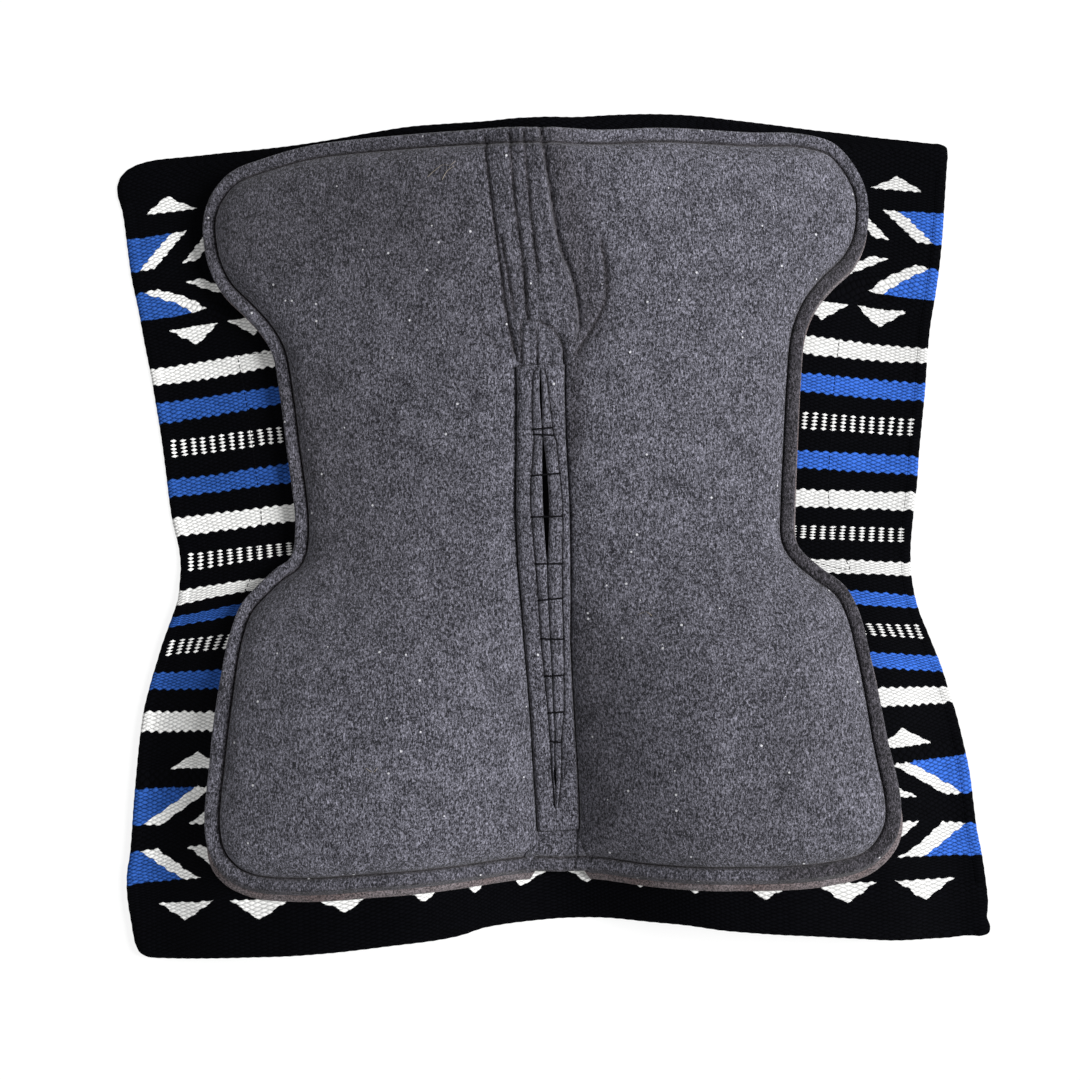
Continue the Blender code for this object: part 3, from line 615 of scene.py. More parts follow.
def weave_finish():
    """The blanket's weft-faced weave with its bands, dots, wedges and rows of triangles."""
    made, tree, shader = tree_of("woven_wool", 0.9, specular=0.02)
    uv = tree.nodes.new("ShaderNodeUVMap")
    uv.uv_map = "weave"
    apart = tree.nodes.new("ShaderNodeSeparateXYZ")
    feed(apart.inputs[0], uv.outputs[0])
    place = object_place(tree)
    wander = (noise(place, 55.0, 3.0) - 0.5) * 3.8
    x = Value(apart.outputs[0]) * 1000.0 + wander
    p = Value(apart.outputs[1]) * 1000.0 + wander

    # Beads of weft lie in columns over the warps, each column half a bead off the next one
    column, line = x / RIB, p / WEFT
    near_x, near_p = step("ROUND", column) * RIB, step("ROUND", line) * WEFT
    far_x = (step("FLOOR", column) + 0.5) * RIB
    far_p = (step("FLOOR", line) + 0.5) * WEFT

    def off(bead_x, bead_p):
        """How far a spot is from a bead's middle, by the bead's shape and by a dot's shape."""
        dx = abs(x - bead_x) * 0.345
        dp = abs(p - bead_p)
        slant = dx + dp
        wide = dx * 1.5
        return slant * slant * 0.5 + (wide * wide + dp * dp) * 0.5, dx * 1.45 + dp

    near_off, near_slant = off(near_x, near_p)
    far_off = off(far_x, far_p)[0]
    first = near_off < far_off
    bead_x, bead_p = mixed(first, far_x, near_x), mixed(first, far_p, near_p)
    bead = 1.0 - step("MINIMUM", near_off, far_off) / 3.7
    ap, ax = abs(bead_p), CLOTH_SIDE - abs(bead_x)
    rear = bead_p < 0.0

    white = band(ap, 29, 49) + band(ap, 191, 209)
    blue = band(ap, 71, 91) + band(ap, 151, 172)
    zone = (band(ap, 112.5, 131.5) + band(ap, -1, 9)) * (ax > 9.0)
    white = white + zone * (near_slant < 1.82)

    # The slanted shapes step finer than the beads
    ap = abs(mixed(0.38, p, bead_p))
    ax = CLOTH_SIDE - abs(mixed(0.38, x, bead_x))

    # Rows of triangles: |p| at the base and at the tip, half width and how much wider at the
    # rear, place of the first and its shift at the rear, spacing
    for base, tip, half, wider, start, shift, pitch in ((375, 394, 30, 0, 54, 5, 76.5),
                                                        (248.5, 229, 29, 6, 58, 16, 68)):
        reach = (1.0 - ranged(ap, base, tip)) * (rear * wider + half)
        apex = rear * shift + start
        turn = step("FRACT", (ax - apex) / pitch + 0.5) - 0.5
        here = band(ap, min(base, tip), max(base, tip)) * (ax > apex - pitch / 2)
        white = white + (abs(turn) * pitch < reach) * here

    # Wedges at the side edges, and the slanted bars beside them
    q = abs(ap - BAR_LINE)
    inner = ap < BAR_LINE
    on_right = x > 0.0
    slope = mixed(inner, rear * 0.4 + 1.2, rear * 0.25 + 1.6)
    past = ax - (10.0 + (q - 11.0) * slope)
    here = band(q, 10.5, 45) * (ap + rear * 9.0 > 260.5)
    width = rear * (1.0 - inner) * (on_right * 9.0 + 3.0) + 17.5 + rear * inner * 6.0
    gap = rear * (on_right * 3.0 + 9.0) + 49.5
    bar = (past % gap < width) * (past > 0.0)
    white = step("MINIMUM", white + bar * here, 1.0)
    blue = step("MINIMUM", blue + here * (past < 0.0), 1.0)

    spot = tree.nodes.new("ShaderNodeCombineXYZ")
    feed(spot.inputs[0], bead_x)
    feed(spot.inputs[1], bead_p)
    chance = tree.nodes.new("ShaderNodeTexWhiteNoise")
    feed(chance.inputs["Vector"], spot.outputs[0])
    fuzz = noise(place, 800.0, 3.0, 0.7)
    shade = ranged(bead, 0.0, 0.75) * 0.68 + 0.14 + Value(chance.outputs["Value"]) * 0.22
    shade = shade + (fuzz - 0.5) * 0.8
    shade = mixed(white, shade, (1.0 - shade) * 0.44 + shade)

    # Painted light and shade across the cloth: the white is painted lighter towards the left and
    # the blue lighter towards the right
    painted_side_light = ranged(x, -380.0, 380.0)
    colour = blend_colours(tree, blue, BLACK_WOOL, blend_colours(tree, painted_side_light, *BLUE_WOOL))
    colour = blend_colours(tree, white, colour, blend_colours(tree, painted_side_light, *WHITE_WOOL))
    toned = tree.nodes.new("ShaderNodeVectorMath")
    toned.operation = "SCALE"
    feed(toned.inputs[0], colour)
    feed(toned.inputs["Scale"], shade)
    feed(shader.inputs["Base Color"], toned.outputs[0])
    bumped(shader, bead + fuzz * 0.5, 0.9, 0.0009)
    return made


def leather_finish():
    made, tree, shader = tree_of("wear_leather", 0.5)
    place = object_place(tree)
    wear_and_shade = noise(place, 14.0, 3.0, 0.6)
    colour = blend_colours(tree, ranged(wear_and_shade, 0.3, 0.7), (0.10, 0.035, 0.014, 1.0),
                           (0.21, 0.085, 0.034, 1.0))
    feed(shader.inputs["Base Color"], colour)
    feed(shader.inputs["Roughness"], ranged(wear_and_shade, 0.3, 0.7, 0.42, 0.62))
    bumped(shader, noise(place, 420.0, 4.0, 0.6), 0.35, 0.0006)
    return made


def cut_edge_finish():
    """The pad's cut edge, where brownish pressed layers show."""
    made, tree, shader = tree_of("backing_felt", 0.95, sheen=0.1)
    place = object_place(tree)
    fine = noise(place, 560.0, 2.0, 0.7)
    cloud = noise(place, 22.0, 2.0)
    colour = blend_colours(tree, ranged(fine, 0.36, 0.66), (0.012, 0.010, 0.011, 1.0),
                           (0.215, 0.187, 0.199, 1.0))
    tint_and_shade = blend_colours(tree, ranged(cloud, 0.35, 0.65), WHITE, (0.80, 0.69, 0.65, 1.0))
    feed(shader.inputs["Base Color"], blend_colours(tree, 1.0, colour, tint_and_shade, "MULTIPLY"))
    bumped(shader, fine, 0.6, 0.0010)
    return made


WEAVE = weave_finish()
GREYS = (0.008, 0.008, 0.011, 1.0), (0.275, 0.271, 0.330, 1.0)
COVER_FELT = felt_finish("grey_felt", *GREYS)
STRIP_FELT = felt_finish("strip_felt", *GREYS)
GUSSET_FELT = felt_finish("gusset_felt", *GREYS)
DARK_FELT = felt_finish("facing_felt", (0.004, 0.004, 0.005, 1.0), (0.018, 0.018, 0.02, 1.0), 1.0)
CUT_EDGE = cut_edge_finish()
LEATHER_HIDE = leather_finish()
FOAM = thread_finish("foam", (0.72, 0.69, 0.58, 1.0))
DARK_THREAD = thread_finish("tack_thread", (0.005, 0.005, 0.006, 1.0), 0.9, 0.05)
SEAM_THREAD = thread_finish("seam_thread", (0.004, 0.004, 0.005, 1.0), 0.95, 0.02)
STRAY_THREAD = thread_finish("stray_fibre", (0.50, 0.44, 0.36, 1.0))


def bends(made):
    """Bakes the transform into the mesh of a piece that crosses the spine."""
    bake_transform(made)


# Blanket

def across_at(v, run):
    """How far from the spine a run of edge points lies at v."""
    order = np.argsort(run[:, 1])
    return np.interp(v, run[order, 1], run[order, 0])


def side_reach(v, side):
    """How far the blanket reaches to the side at v."""
    edge = BLANKET_EDGE[side]
    return across_at(v, edge[edge[:, 0] > 0.385])


def felt_reach(v, side):
    edge = FELT_EDGE[side]
    return across_at(v, edge[(edge[:, 0] > 0.255) & (edge[:, 1] < 0.40) & (edge[:, 1] > -0.345)])


def felt_depth(u, v):
    """How far inside the felt's outer edge a flat point lies."""
    flat = np.stack([np.abs(u), v], -1)
    found = np.zeros(len(flat))
    for side, _ in SIDES:
        own = (u > 0) == (side > 0)
        if own.any():
            found[own] = distance(flat[own], FELT_EDGE[side])
    return found


def arc_across(u, v):
    """Length of the cloth from the spine to (u, v)."""
    shares = np.linspace(0, 1, 41)
    us = u[:, None] * shares
    z = relief(us, np.repeat(v[:, None], 41, 1))
    return np.hypot(np.diff(us, axis=1), np.diff(z, axis=1)).sum(1) * np.sign(u)


# Where the bands cross the cloth, in mm: their places in the pattern, and v at each of these
# along four lines, which are both side edges and both felt edges
BAND_PLACES = (
    -432, -391, -377, -347, -311, -294, -257, -249, -229, -209, -191, -172, -151, -132, -113, -91,
    -71, -49, -29, -11, 11, 29, 49, 71, 91, 113, 132, 151, 172, 191, 209, 245, 249, 260, 292, 312,
    347, 377, 391, 432,
)
BAND_LINES = {
    "left_side": (
        -432, -390, -377, -356, -320, -297, -256, -237, -220, -195, -175, -152, -134, -119, -101,
        -87, -76, -65, -48, -30, -7, 11, 32, 54, 74, 97, 117, 135, 158, 177, 194, 232, 236, 249,
        280, 303, 341, 368, 385, 430),
    "left_felt": (
        -430, -388, -372, -346, -313, -295, -256, -234, -218, -196, -178, -154, -135, -113, -98,
        -76, -64, -52, -38, -16, 0, 22, 41, 63, 85, 108, 126, 149, 168, 191, 207, 243, 246, 270,
        296, 317, 352, 375, 387, 430),
    "right_felt": (
        -434, -394, -378, -352, -315, -295, -259, -241, -222, -197, -179, -156, -142, -124, -112,
        -91, -75, -56, -41, -19, -2, 17, 37, 59, 79, 102, 121, 142, 162, 183, 202, 237, 241, 268,
        295, 314, 345, 372, 380, 430),
    "right_side": (
        -436, -399, -382, -358, -323, -295, -253, -237, -220, -196, -180, -164, -148, -131, -115,
        -97, -83, -62, -47, -27, -8, 9, 30, 48, 70, 91, 111, 129, 148, 171, 186, 221, 225, 240,
        274, 300, 338, 360, 375, 428),
}


# Across the cloth along its rear edge: (distance from the spine, place in the pattern), in mm
REAR_ACROSS = {
    1: ((0, 0), (30, 32.5), (85, 109), (137, 185.5), (206, 262), (291, 338.5), (377, 415),
        (449, 474)),
    -1: ((0, 0), (42, 32.5), (88.5, 109), (137, 185.5), (217, 262), (306.5, 338.5), (388, 415),
         (450, 474)),
}


def woven_place(flat):
    """Where flat points lie in the cloth's own pattern: across from the spine, and along."""
    u, v = flat[:, 0], flat[:, 1]
    s = np.abs(u)
    reach = np.where(u > 0, side_reach(v, 1), side_reach(v, -1))
    liner = np.minimum(np.where(u > 0, felt_reach(v, 1), felt_reach(v, -1)), reach - 0.03)
    full = arc_across(reach, v)
    arc = np.abs(arc_across(u, v))
    across = arc + (0.474 - full) * smooth(s / 0.27)
    for side, _ in SIDES:
        at, place = np.array(REAR_ACROSS[side]).T * MM
        behind = (np.interp(s, at, place) - across) * smooth((-0.335 - v) / 0.035)
        across = np.where(u * side > 0, across + behind, across)
    places = np.array(BAND_PLACES) * MM
    line = {name: np.interp(v, np.array(at) * MM, places) for name, at in BAND_LINES.items()}
    share = np.clip((s - liner) / (reach - liner), 0, 1.15)
    felt_line = np.where(u < 0, line["left_felt"], line["right_felt"])
    side_line = np.where(u < 0, line["left_side"], line["right_side"])
    spine_line = v * 1.005 - 0.022 + 0.009 * smooth((v - 0.30) / 0.10)
    mid = smooth(s / liner)
    along = np.where(s > liner, felt_line + (side_line - felt_line) * share,
                     spine_line + (felt_line - spine_line) * mid)
    return np.stack([np.sign(u) * across, along], -1)


def rounded(depth, run, amount):
    """How much an edge drops at a depth inside it."""
    return amount * (1 - np.sqrt(np.clip(1 - (1 - np.clip(depth / run, 0, 1)) ** 2, 0, 1)))


def make_blanket():
    right = BLANKET_EDGE[1]
    loop = np.concatenate([right, (BLANKET_EDGE[-1] * MIRROR)[::-1][1:-1]])
    closed = np.concatenate([loop, loop[:1]])
    spots = lattice(0.0055, 0.0055, loop)
    spots = spots[distance(spots, closed) > 0.0035]
    run = np.concatenate([[0.0], np.cumsum(np.linalg.norm(np.diff(loop, axis=0), axis=1))])
    bead = 0.00018 * np.sin(run * math.tau / 0.0112)[:, None]
    loop = loop - beside_loop(loop) * bead

    def high(u, v):
        return 0.0042 - rounded(distance(np.stack([u, v], -1), closed), 0.0025, 0.0016)

    def low(u, v):
        return rounded(distance(np.stack([u, v], -1), closed), 0.0025, 0.0010)

    made, flat = shell("blanket_cloth", loop, spots, low, high, WEAVE,
                       low_spots=spots[::2], wall=((0.5, 0.0007),))
    lay_uv(made, woven_place(flat))
    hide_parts("woven_blanket")
    bends(made)


def make_hems():
    for side, name in SIDES:
        edge = BLANKET_EDGE[side]
        run = edge[(edge[:, 0] > 0.385) & (edge[:, 1] < 0.385) & (edge[:, 1] > -0.385)]
        run = evenly(run, 0.004)
        inward = beside(np.gradient(run, axis=0))
        ring = ((0.0014, 4.0), (0.0019, 4.5), (0.0032, 4.9), (0.006, 5.05), (0.009, 4.9),
                (0.0108, 4.6), (0.0116, 4.1))
        stations = []
        places = []
        for across, height in ring:
            flat = run + inward * across
            stations.append(lay(flat[:, 0] * side, flat[:, 1], height * MM))
            places.append(flat * (side, 1))
        made = sweep(name + "_hem_fold", np.stack(stations, 1), WEAVE)
        lay_uv(made, woven_place(np.stack(places, 1).reshape(-1, 2)))
        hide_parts(name + "_side_hem")
        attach(made, name + "_half")


# Felt sides

# Heights over the blanket's underside, in metres
BACKING_LOW, BACKING_HIGH = 0.0044, 0.0094
COVER_LOW = 0.0098
FOAM_LOW, FOAM_HIGH = 0.0101, 0.024
STRIP_LOW = 8.9 * MM
GUSSET_LOW = 0.0066
# The foam's distance from the spine
FOAM_INNER = 0.078

# Height of the felt's top, in mm: inwards from the outer edge, outwards from the strip, and over
# the gussets outwards from the spine
RIM = ((0.0, 14.6), (0.6, 16.6), (1.5, 18.0), (3.0, 18.6), (4.5, 18.6), (7.0, 18.0), (10.0, 17.0),
       (12.4, 15.7), (13.4, 14.2), (14.2, 11.4), (15.0, 14.0), (16.4, 16.8), (19.0, 18.9),
       (23.0, 21.5), (28.0, 24.0), (34.0, 26.0), (44.0, 27.8), (70.0, 30.0), (100.0, 31.2),
       (140.0, 31.8))
STRIP_SIDE = ((0.0, 13.2), (0.8, 14.8), (2.0, 16.0), (5.0, 17.8), (10.0, 20.2), (16.0, 22.6),
              (24.0, 24.9), (36.0, 27.2), (60.0, 29.8), (90.0, 31.2), (120.0, 31.8))
FRONT_SIDE = ((0.0, 18.7), (20.0, 18.8), (30.0, 19.4), (42.0, 21.0), (60.0, 24.4), (80.0, 27.6),
              (105.0, 30.2), (140.0, 31.8))
REAR_SIDE = ((0.0, 18.4), (22.0, 18.4), (30.0, 19.0), (40.0, 21.2), (52.0, 23.8), (75.0, 27.6),
             (105.0, 30.4), (140.0, 31.8))

# Soft folds pressed into the felt: points (u, v) along each in mm, its depth and its width
PANEL_FOLDS = (
    (((42, 300), (47, 262), (48, 232), (43, 200), (36, 180)), 4.0, 12.0),
    (((30, 165), (28, 120), (26, 60)), 1.2, 5.0),
)
PANEL_CREASES = (
    (((62, 292), (66, 262), (65, 236), (56, 214), (45, 196), (35, 180)), 3.0, 2.4),
    (((-62, 232), (-50, 205), (-38, 186)), 1.4, 2.4),
)
FRONT_FOLDS = (
    (((-44, 402), (-40, 350), (-35, 290), (-29, 225), (-23, 176)), 3.6, 2.0),
    (((-20, 404), (-17, 330), (-13, 285), (-10, 215)), 3.8, 1.9),
    (((-31, 300), (-26, 260), (-22, 225)), 2.8, 1.8),
    (((-7, 404), (-5, 350), (-2, 300), (1, 262)), 3.3, 1.7),
    (((8, 406), (13, 364), (18, 318), (23, 286), (33, 258), (39, 225), (38, 196), (31, 172)),
     6.5, 2.4),
    (((-50, 207), (-41, 188), (-30, 170)), 2.8, 2.2),
    (((0, 213), (13, 204), (21, 190), (24, 170)), 3.4, 1.4),
    (((-2, 206), (-3, 170)), 2.0, 1.2),
    (((-16, 214), (-18, 172)), 2.4, 1.8),
)
GUSSET_RIDGE = ((2, 400), (7, 350), (12, 315), (16, 284), (26, 256), (31, 225), (30, 196))
REAR_FOLDS = (
    (((-24, -313), (-25, -335), (-27, -349)), 0.9, 1.2),
    (((25, -313), (24, -332), (22, -345), (20, -352)), 2.0, 1.4),
    (((27, -316), (33, -335), (38, -345)), 1.0, 2.0),
    (((-10, -330), (-13, -345)), 0.8, 2.5),
    (((6, -328), (9, -350)), 0.8, 2.5),
)


def profile(table, depth):
    at, height = np.array(table).T * MM
    return np.interp(depth, at, height)


def folded(u, v, folds):
    """How far the folds press the felt in at (u, v)."""
    flat = np.stack([u, v], -1)
    pressed = np.zeros_like(u)
    for points, depth, width in folds:
        path = curve_through(points, 0.003)
        room = 4 * width * MM
        near = ((flat > path.min(0) - room) & (flat < path.max(0) + room)).all(1)
        if near.any():
            d = distance(flat[near], path)
            here = depth * MM * np.exp(-(d / (width * MM)) ** 1.4)
            pressed[near] = np.maximum(pressed[near], here)
    return pressed


def felt_height(u, v):
    """Height of the felt's top, without the strip."""
    s = np.abs(u)
    edge = felt_depth(u, v)
    wall = np.where(u > 0, channel_wall(v, 1), channel_wall(v, -1))
    side = profile(STRIP_SIDE, s - wall)
    front = smooth((v - 0.166) / 0.045)
    rear = smooth((-0.308 - v) / 0.02)
    side = side + (profile(FRONT_SIDE, s) - side) * front
    side = side + (profile(REAR_SIDE, s) - side) * rear
    ripple = 0.35 * MM * np.sin(u * 61 + v * 23) * np.sin(v * 47 - u * 19)
    pressed = folded(u, v, PANEL_FOLDS) + folded(u, v, PANEL_CREASES)
    return np.minimum(profile(RIM, edge), side) - pressed + ripple * smooth(edge / 0.05)


# Where the felt is painted darker: painted shade in creases, in the valley right of the front
# pleats, beside the strip on the right and over the left side, and darker patches at the front and
# the rear right; points (u, v) along each place in mm, its share and its width
PAINTED_SHADE_AND_PATCHES = (
    (((22, 400), (30, 340), (36, 290), (46, 240), (46, 212)), 0.50, 20.0),
    (((44, 215), (37, 190), (32, 160), (30, 120), (27, 70)), 0.45, 9.0),
    (((40, -120), (50, -220), (60, -330)), 0.30, 40.0),
    (((62, 292), (66, 262), (65, 236), (56, 214), (45, 196), (35, 180)), 0.80, 3.2),
    (((-62, 232), (-50, 205), (-38, 186)), 0.35, 3.0),
    (((-330, 330), (-230, 345), (-120, 325)), 0.34, 110.0),
    (((-240, 150), (-215, 0)), 0.30, 80.0),
    (((-110, 60), (-110, -120)), 0.12, 60.0),
    (((250, -230), (190, -320), (110, -330)), 0.20, 70.0),
    (((-8, 400), (-6, 250)), 0.18, 40.0),
)


def write_painted_shade(made, share):
    mark = made.data.attributes.new("wear_and_shade", "FLOAT", "POINT")
    mark.data.foreach_set("value", share.astype(np.float32))


def mark_painted_shade(made, u, v, folds=()):
    """Marks where the felt is painted darker: painted shade over the rim, strongest on the right,
    in the stitched groove and in the creases; the outermost edge darker at the rear and on the
    right; and the listed places.
    """
    edge = felt_depth(u, v)
    # Painted shade over the rim band, strongest on the right side.
    rim = 1 - smooth((edge - 0.0125) / 0.003)
    right = smooth((u - 0.19) / 0.05) * smooth((0.345 - v) / 0.06)
    rear = smooth((-0.300 - v) / 0.04)
    share = rim * np.clip(0.06 + 0.62 * right + 0.10 * rear, 0, 0.70)
    # The outermost edge is darker at the rear and a little on the right.
    share = np.maximum(share, 0.6 * np.exp(-(edge / 0.0045) ** 2) * np.maximum(rear, 0.3 * right))
    # Painted shade in the stitched groove about 14 mm inside the edge.
    share = np.maximum(share, 0.95 * np.exp(-((edge - 0.0142) / 0.0017) ** 2))
    # Painted shade and darker patches at the listed places.
    share = np.maximum(share, folded(u, v, PAINTED_SHADE_AND_PATCHES) / MM)
    if folds:
        # Painted shade in the gussets' creases.
        creases = [(points, min(0.90, 0.25 + 0.2 * depth), width) for points, depth, width in folds]
        share = np.maximum(share, folded(u, v, creases) / MM)
    write_painted_shade(made, share)


def gusset_reach(v, ahead):
    """How far the gusset reaches from the spine, past the felt sides that it is sewn to."""
    if ahead:
        return 0.0262 + 0.0250 * smooth((v - STRIP_FRONT) / 0.050)
    return 0.0262 + 0.0140 * smooth((STRIP_REAR - v) / 0.025)


def cover_height(u, v):
    """The felt sides tuck under the gussets."""
    tuck = np.zeros_like(u)
    for ahead, inside in ((True, v > STRIP_FRONT), (False, v < STRIP_REAR)):
        under = gusset_reach(v, ahead) - np.abs(u)
        tuck = np.where(inside, 0.006 * smooth((under - 0.003) / 0.006), tuck)
    return felt_height(u, v) - tuck


def side_loop(step, side):
    """The outline of one side of the felt."""
    edge = FELT_EDGE[side]
    keep = edge[edge[:, 0] > channel_wall(edge[:, 1], side)]
    outer = evenly(keep, step)
    first, last = outer[0, 1], outer[-1, 1]
    v = np.linspace(last, first, int((first - last) / step) + 1)
    wall = np.stack([channel_wall(v, side), v], -1)[1:-1]
    return np.concatenate([outer, wall]) * (side, 1)


def make_sides():
    for side, name in SIDES:
        loop = side_loop(0.0035, side)
        closed = np.concatenate([loop, loop[:1]])
        rows = []
        for gap in (0.7, 1.6, 3.0, 5.0, 7.5, 10.0, 12.2, 13.4, 14.2, 15.0, 16.4, 19.2):
            row = inset(FELT_EDGE[side], gap * MM)
            row = row[row[:, 0] > channel_wall(row[:, 1], side) + gap * MM]
            rows.append(evenly(row, 0.0035) * (side, 1))
        spots = lattice(0.0040, 0.0040, loop)
        outward = spots * (side, 1)
        spots = spots[(distance(outward, FELT_EDGE[side]) > 0.021)
                      & (outward[:, 0] - channel_wall(outward[:, 1], side) > 0.0015)]
        for points, depth, width in PANEL_CREASES:
            if points[0][0] * side > 0:
                path = curve_through(points, 0.003)
                across = beside(np.gradient(path, axis=0))
                rows.extend(path - across * gap * MM
                            for gap in (-4.2, -2.4, -1.1, 0.0, 1.1, 2.4, 4.2))
                spots = spots[distance(spots, path) > 0.006]

        def spread(flat):
            """How far the cut edge leans out: most at the rear, least on the left."""
            away = smooth((np.abs(flat[:, 0]) - channel_wall(flat[:, 1], side) - 0.001) / 0.006)
            rear = smooth((-0.290 - flat[:, 1]) / 0.050)
            base = (0.40 if side > 0 else 0.22) * (1 - smooth((flat[:, 1] - 0.30) / 0.08))
            return away * (base + (1 - base) * rear)

        base_spots = lattice(0.02, 0.02, loop)
        base_spots = base_spots[distance(base_spots, closed) > 0.008]
        made, flat = shell(name + "_felt_pad", loop, spots, level(COVER_LOW), cover_height,
                           COVER_FELT, rows=rows, low_spots=base_spots, spread=spread,
                           wall=((0.0, 0.0032), (0.4, 0.0024), (0.8, 0.0010)))
        mark_painted_shade(made, flat[:, 0], flat[:, 1])
        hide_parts(name + "_felt_cover")
        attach(made, name + "_half")
        under, _ = shell(name + "_cut_edge_felt", loop, base_spots, level(BACKING_LOW),
                         level(BACKING_HIGH), CUT_EDGE, spread=spread,
                         wall=((0.0, 0.0106), (0.3, 0.0104), (0.65, 0.0084), (1.0, 0.0048)))
        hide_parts(name + "_felt_backing")
        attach(under, name + "_half")


def make_foam():
    """The foam sewn into each side, hidden by the felt."""
    for side, name in SIDES:
        edge = inset(FELT_EDGE[side], 0.024)
        edge = edge[edge[:, 0] > FOAM_INNER]
        first, last = edge[0, 1], edge[-1, 1]
        v = np.linspace(last, first, 60)[1:-1]
        wall = np.stack([np.full_like(v, FOAM_INNER), v], -1)
        loop = np.concatenate([evenly(edge, 0.009), wall]) * (side, 1)
        closed = np.concatenate([loop, loop[:1]])
        spots = lattice(0.014, 0.014, loop)
        spots = spots[distance(spots, closed) > 0.007]

        def high(u, v):
            return np.minimum(felt_height(u, v) - 0.0022, FOAM_HIGH)

        made, _ = shell(name + "_foam_pad", loop, spots, level(FOAM_LOW), high, FOAM,
                        wall=((0.5, 0.0),))
        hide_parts(name + "_foam_core")
        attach(made, name + "_half")


# Spine strip

SLITS = ((0.162, 0.110, 1.0), (0.094, -0.034, 3.0), (-0.241, -0.266, 1.5))
TACKS = (0.1035, 0.0970, 0.0565, 0.0135, -0.0350, -0.0715, -0.1125, -0.1505, -0.1885, -0.2190)

# Across one half of the strip: (share of the lip, share of the rest, height in mm with a lip and
# without one)
STRIP_PROFILE = (
    (0.00, 0.00, 16.8, 19.2), (0.03, 0.00, 19.4, 19.3), (0.12, 0.00, 20.9, 19.4),
    (0.30, 0.00, 21.6, 19.5), (0.55, 0.00, 21.5, 19.6), (0.80, 0.00, 20.8, 19.6),
    (0.93, 0.00, 19.7, 19.5), (1.00, 0.00, 17.6, 19.4), (1.00, 0.05, 19.1, 19.5),
    (1.00, 0.14, 19.8, 19.6), (1.00, 0.45, 19.9, 19.7), (1.00, 0.72, 19.5, 19.4),
    (1.00, 0.88, 18.6, 18.6), (1.00, 0.96, 17.2, 17.2), (1.00, 1.00, 15.0, 15.0),
)


def slit_half(v):
    """Half the width of the gap between the two lips at v."""
    gap = np.where((v < 0.163) & (v > -0.283), 0.00022, 0.00003)
    for front, rear, half in SLITS:
        share = (front - v) / (front - rear)
        bulge = half * MM * np.clip(np.sin(np.pi * np.clip(share, 0, 1)), 0, 1) ** 0.8
        gap = np.maximum(gap, bulge)
    return gap


def slit_middle(v):
    """The vent wanders a little across the spine."""
    return 0.0006 * np.sin(v * 31 + 0.5) + 0.0012 * np.exp(-((v + 0.205) / 0.014) ** 2)


def lip_share(v):
    """1 where the strip has lips, 0 at its plain ends."""
    return smooth((0.1665 - v) / 0.004) * smooth((v + 0.291) / 0.008)


def strip_height(v, lip, rest, raised, plain):
    share = lip_share(v)
    pinch = np.zeros_like(v)
    for tack in TACKS:
        pinch = np.maximum(pinch, np.exp(-((v - tack) / 0.0026) ** 2))
    swell = 0.30 * np.sin(v * 155 + 1) + 0.22 * np.sin(v * 331)
    height = plain + (raised - plain) * share
    return (height + (swell - 2.0 * pinch) * share * (1 - rest) * (1 - 0.8 * (lip > 0.97))) * MM


def make_strip():
    v = np.arange(STRIP_FRONT, STRIP_REAR, -0.0016)
    for side, name in SIDES:
        middle = slit_middle(v) * side
        gap = slit_half(v) + middle
        seam = np.maximum(along_strip(LIP_SEAMS[side], v), gap + 0.0006)
        edge = along_strip(STRIP_EDGES[side], v)
        rings, dark = [], []
        for lip, rest, raised, plain in STRIP_PROFILE:
            u = gap + (seam - gap) * lip + (edge - seam) * rest
            rings.append(lay(u * side, v, strip_height(v, lip, rest, raised, plain)))
            # Painted shade along the lip seams, on the slit's edges and at the strip's outer edges
            # beside the felt sides.
            at_seam = math.exp(-abs(rest - (1 - lip)) / 0.05) if lip > 0.9 else 0.3 * (lip < 0.02)
            at_end = 0.7 * math.exp(-(1 - rest) / 0.04)
            dark.append(np.maximum(0.8 * at_seam * lip_share(v), at_end))
        for share in (1.0, 0.6, 0.25, 0.0):
            u = gap + (edge - gap) * share
            rings.append(lay(u * side, v, STRIP_LOW))
            # Painted shade on the strip's underside.
            dark.append(np.full_like(v, 0.7))
        made = sweep(name + "_strip_lip", np.stack(rings, 1), STRIP_FELT)
        write_painted_shade(made, np.stack(dark, 1).ravel())
        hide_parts("spine_strip")
        bends(made)


def make_facing():
    v = np.arange(STRIP_FRONT - 0.0006, STRIP_REAR, -0.004)
    rings = []
    for u, height in ((-0.02, 5.3), (-0.02, 8.0), (-0.01, 8.1), (0.0, 8.0), (0.01, 8.1),
                      (0.02, 8.0), (0.02, 5.3), (0.0, 5.2)):
        rings.append(lay(np.full_like(v, u), v, height * MM))
    made = sweep("vent_backing_cloth", np.stack(rings, 1), DARK_FELT)
    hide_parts("spine_vent_facing")
    bends(made)


def make_tacks():
    for number, v in enumerate(TACKS, 1):
        at = np.array([v])
        left = -along_strip(LIP_SEAMS[-1], at)[0] - 0.0004
        right = along_strip(LIP_SEAMS[1], at)[0] + 0.0004
        shares = np.linspace(0, 1, 15)
        u = left + (right - left) * shares
        lean = 0.0009 * math.sin(number * 2.4) * (shares - 0.5) * 2
        sunk = np.clip(np.minimum(shares, 1 - shares) / 0.08, 0, 1)
        rings = []
        for turn in np.linspace(0, math.tau, 9)[:-1]:
            across = v + lean + math.cos(turn) * 0.0009
            height = 18.9 + 1.5 * sunk + math.sin(turn) * 0.8
            rings.append(lay(u, across, height * MM))
        made = sweep(f"cross_tack_thread_{number}", np.stack(rings, 1), DARK_THREAD)
        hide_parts(f"spine_cross_tack_{number}")
        bends(made)


# Pleated gussets

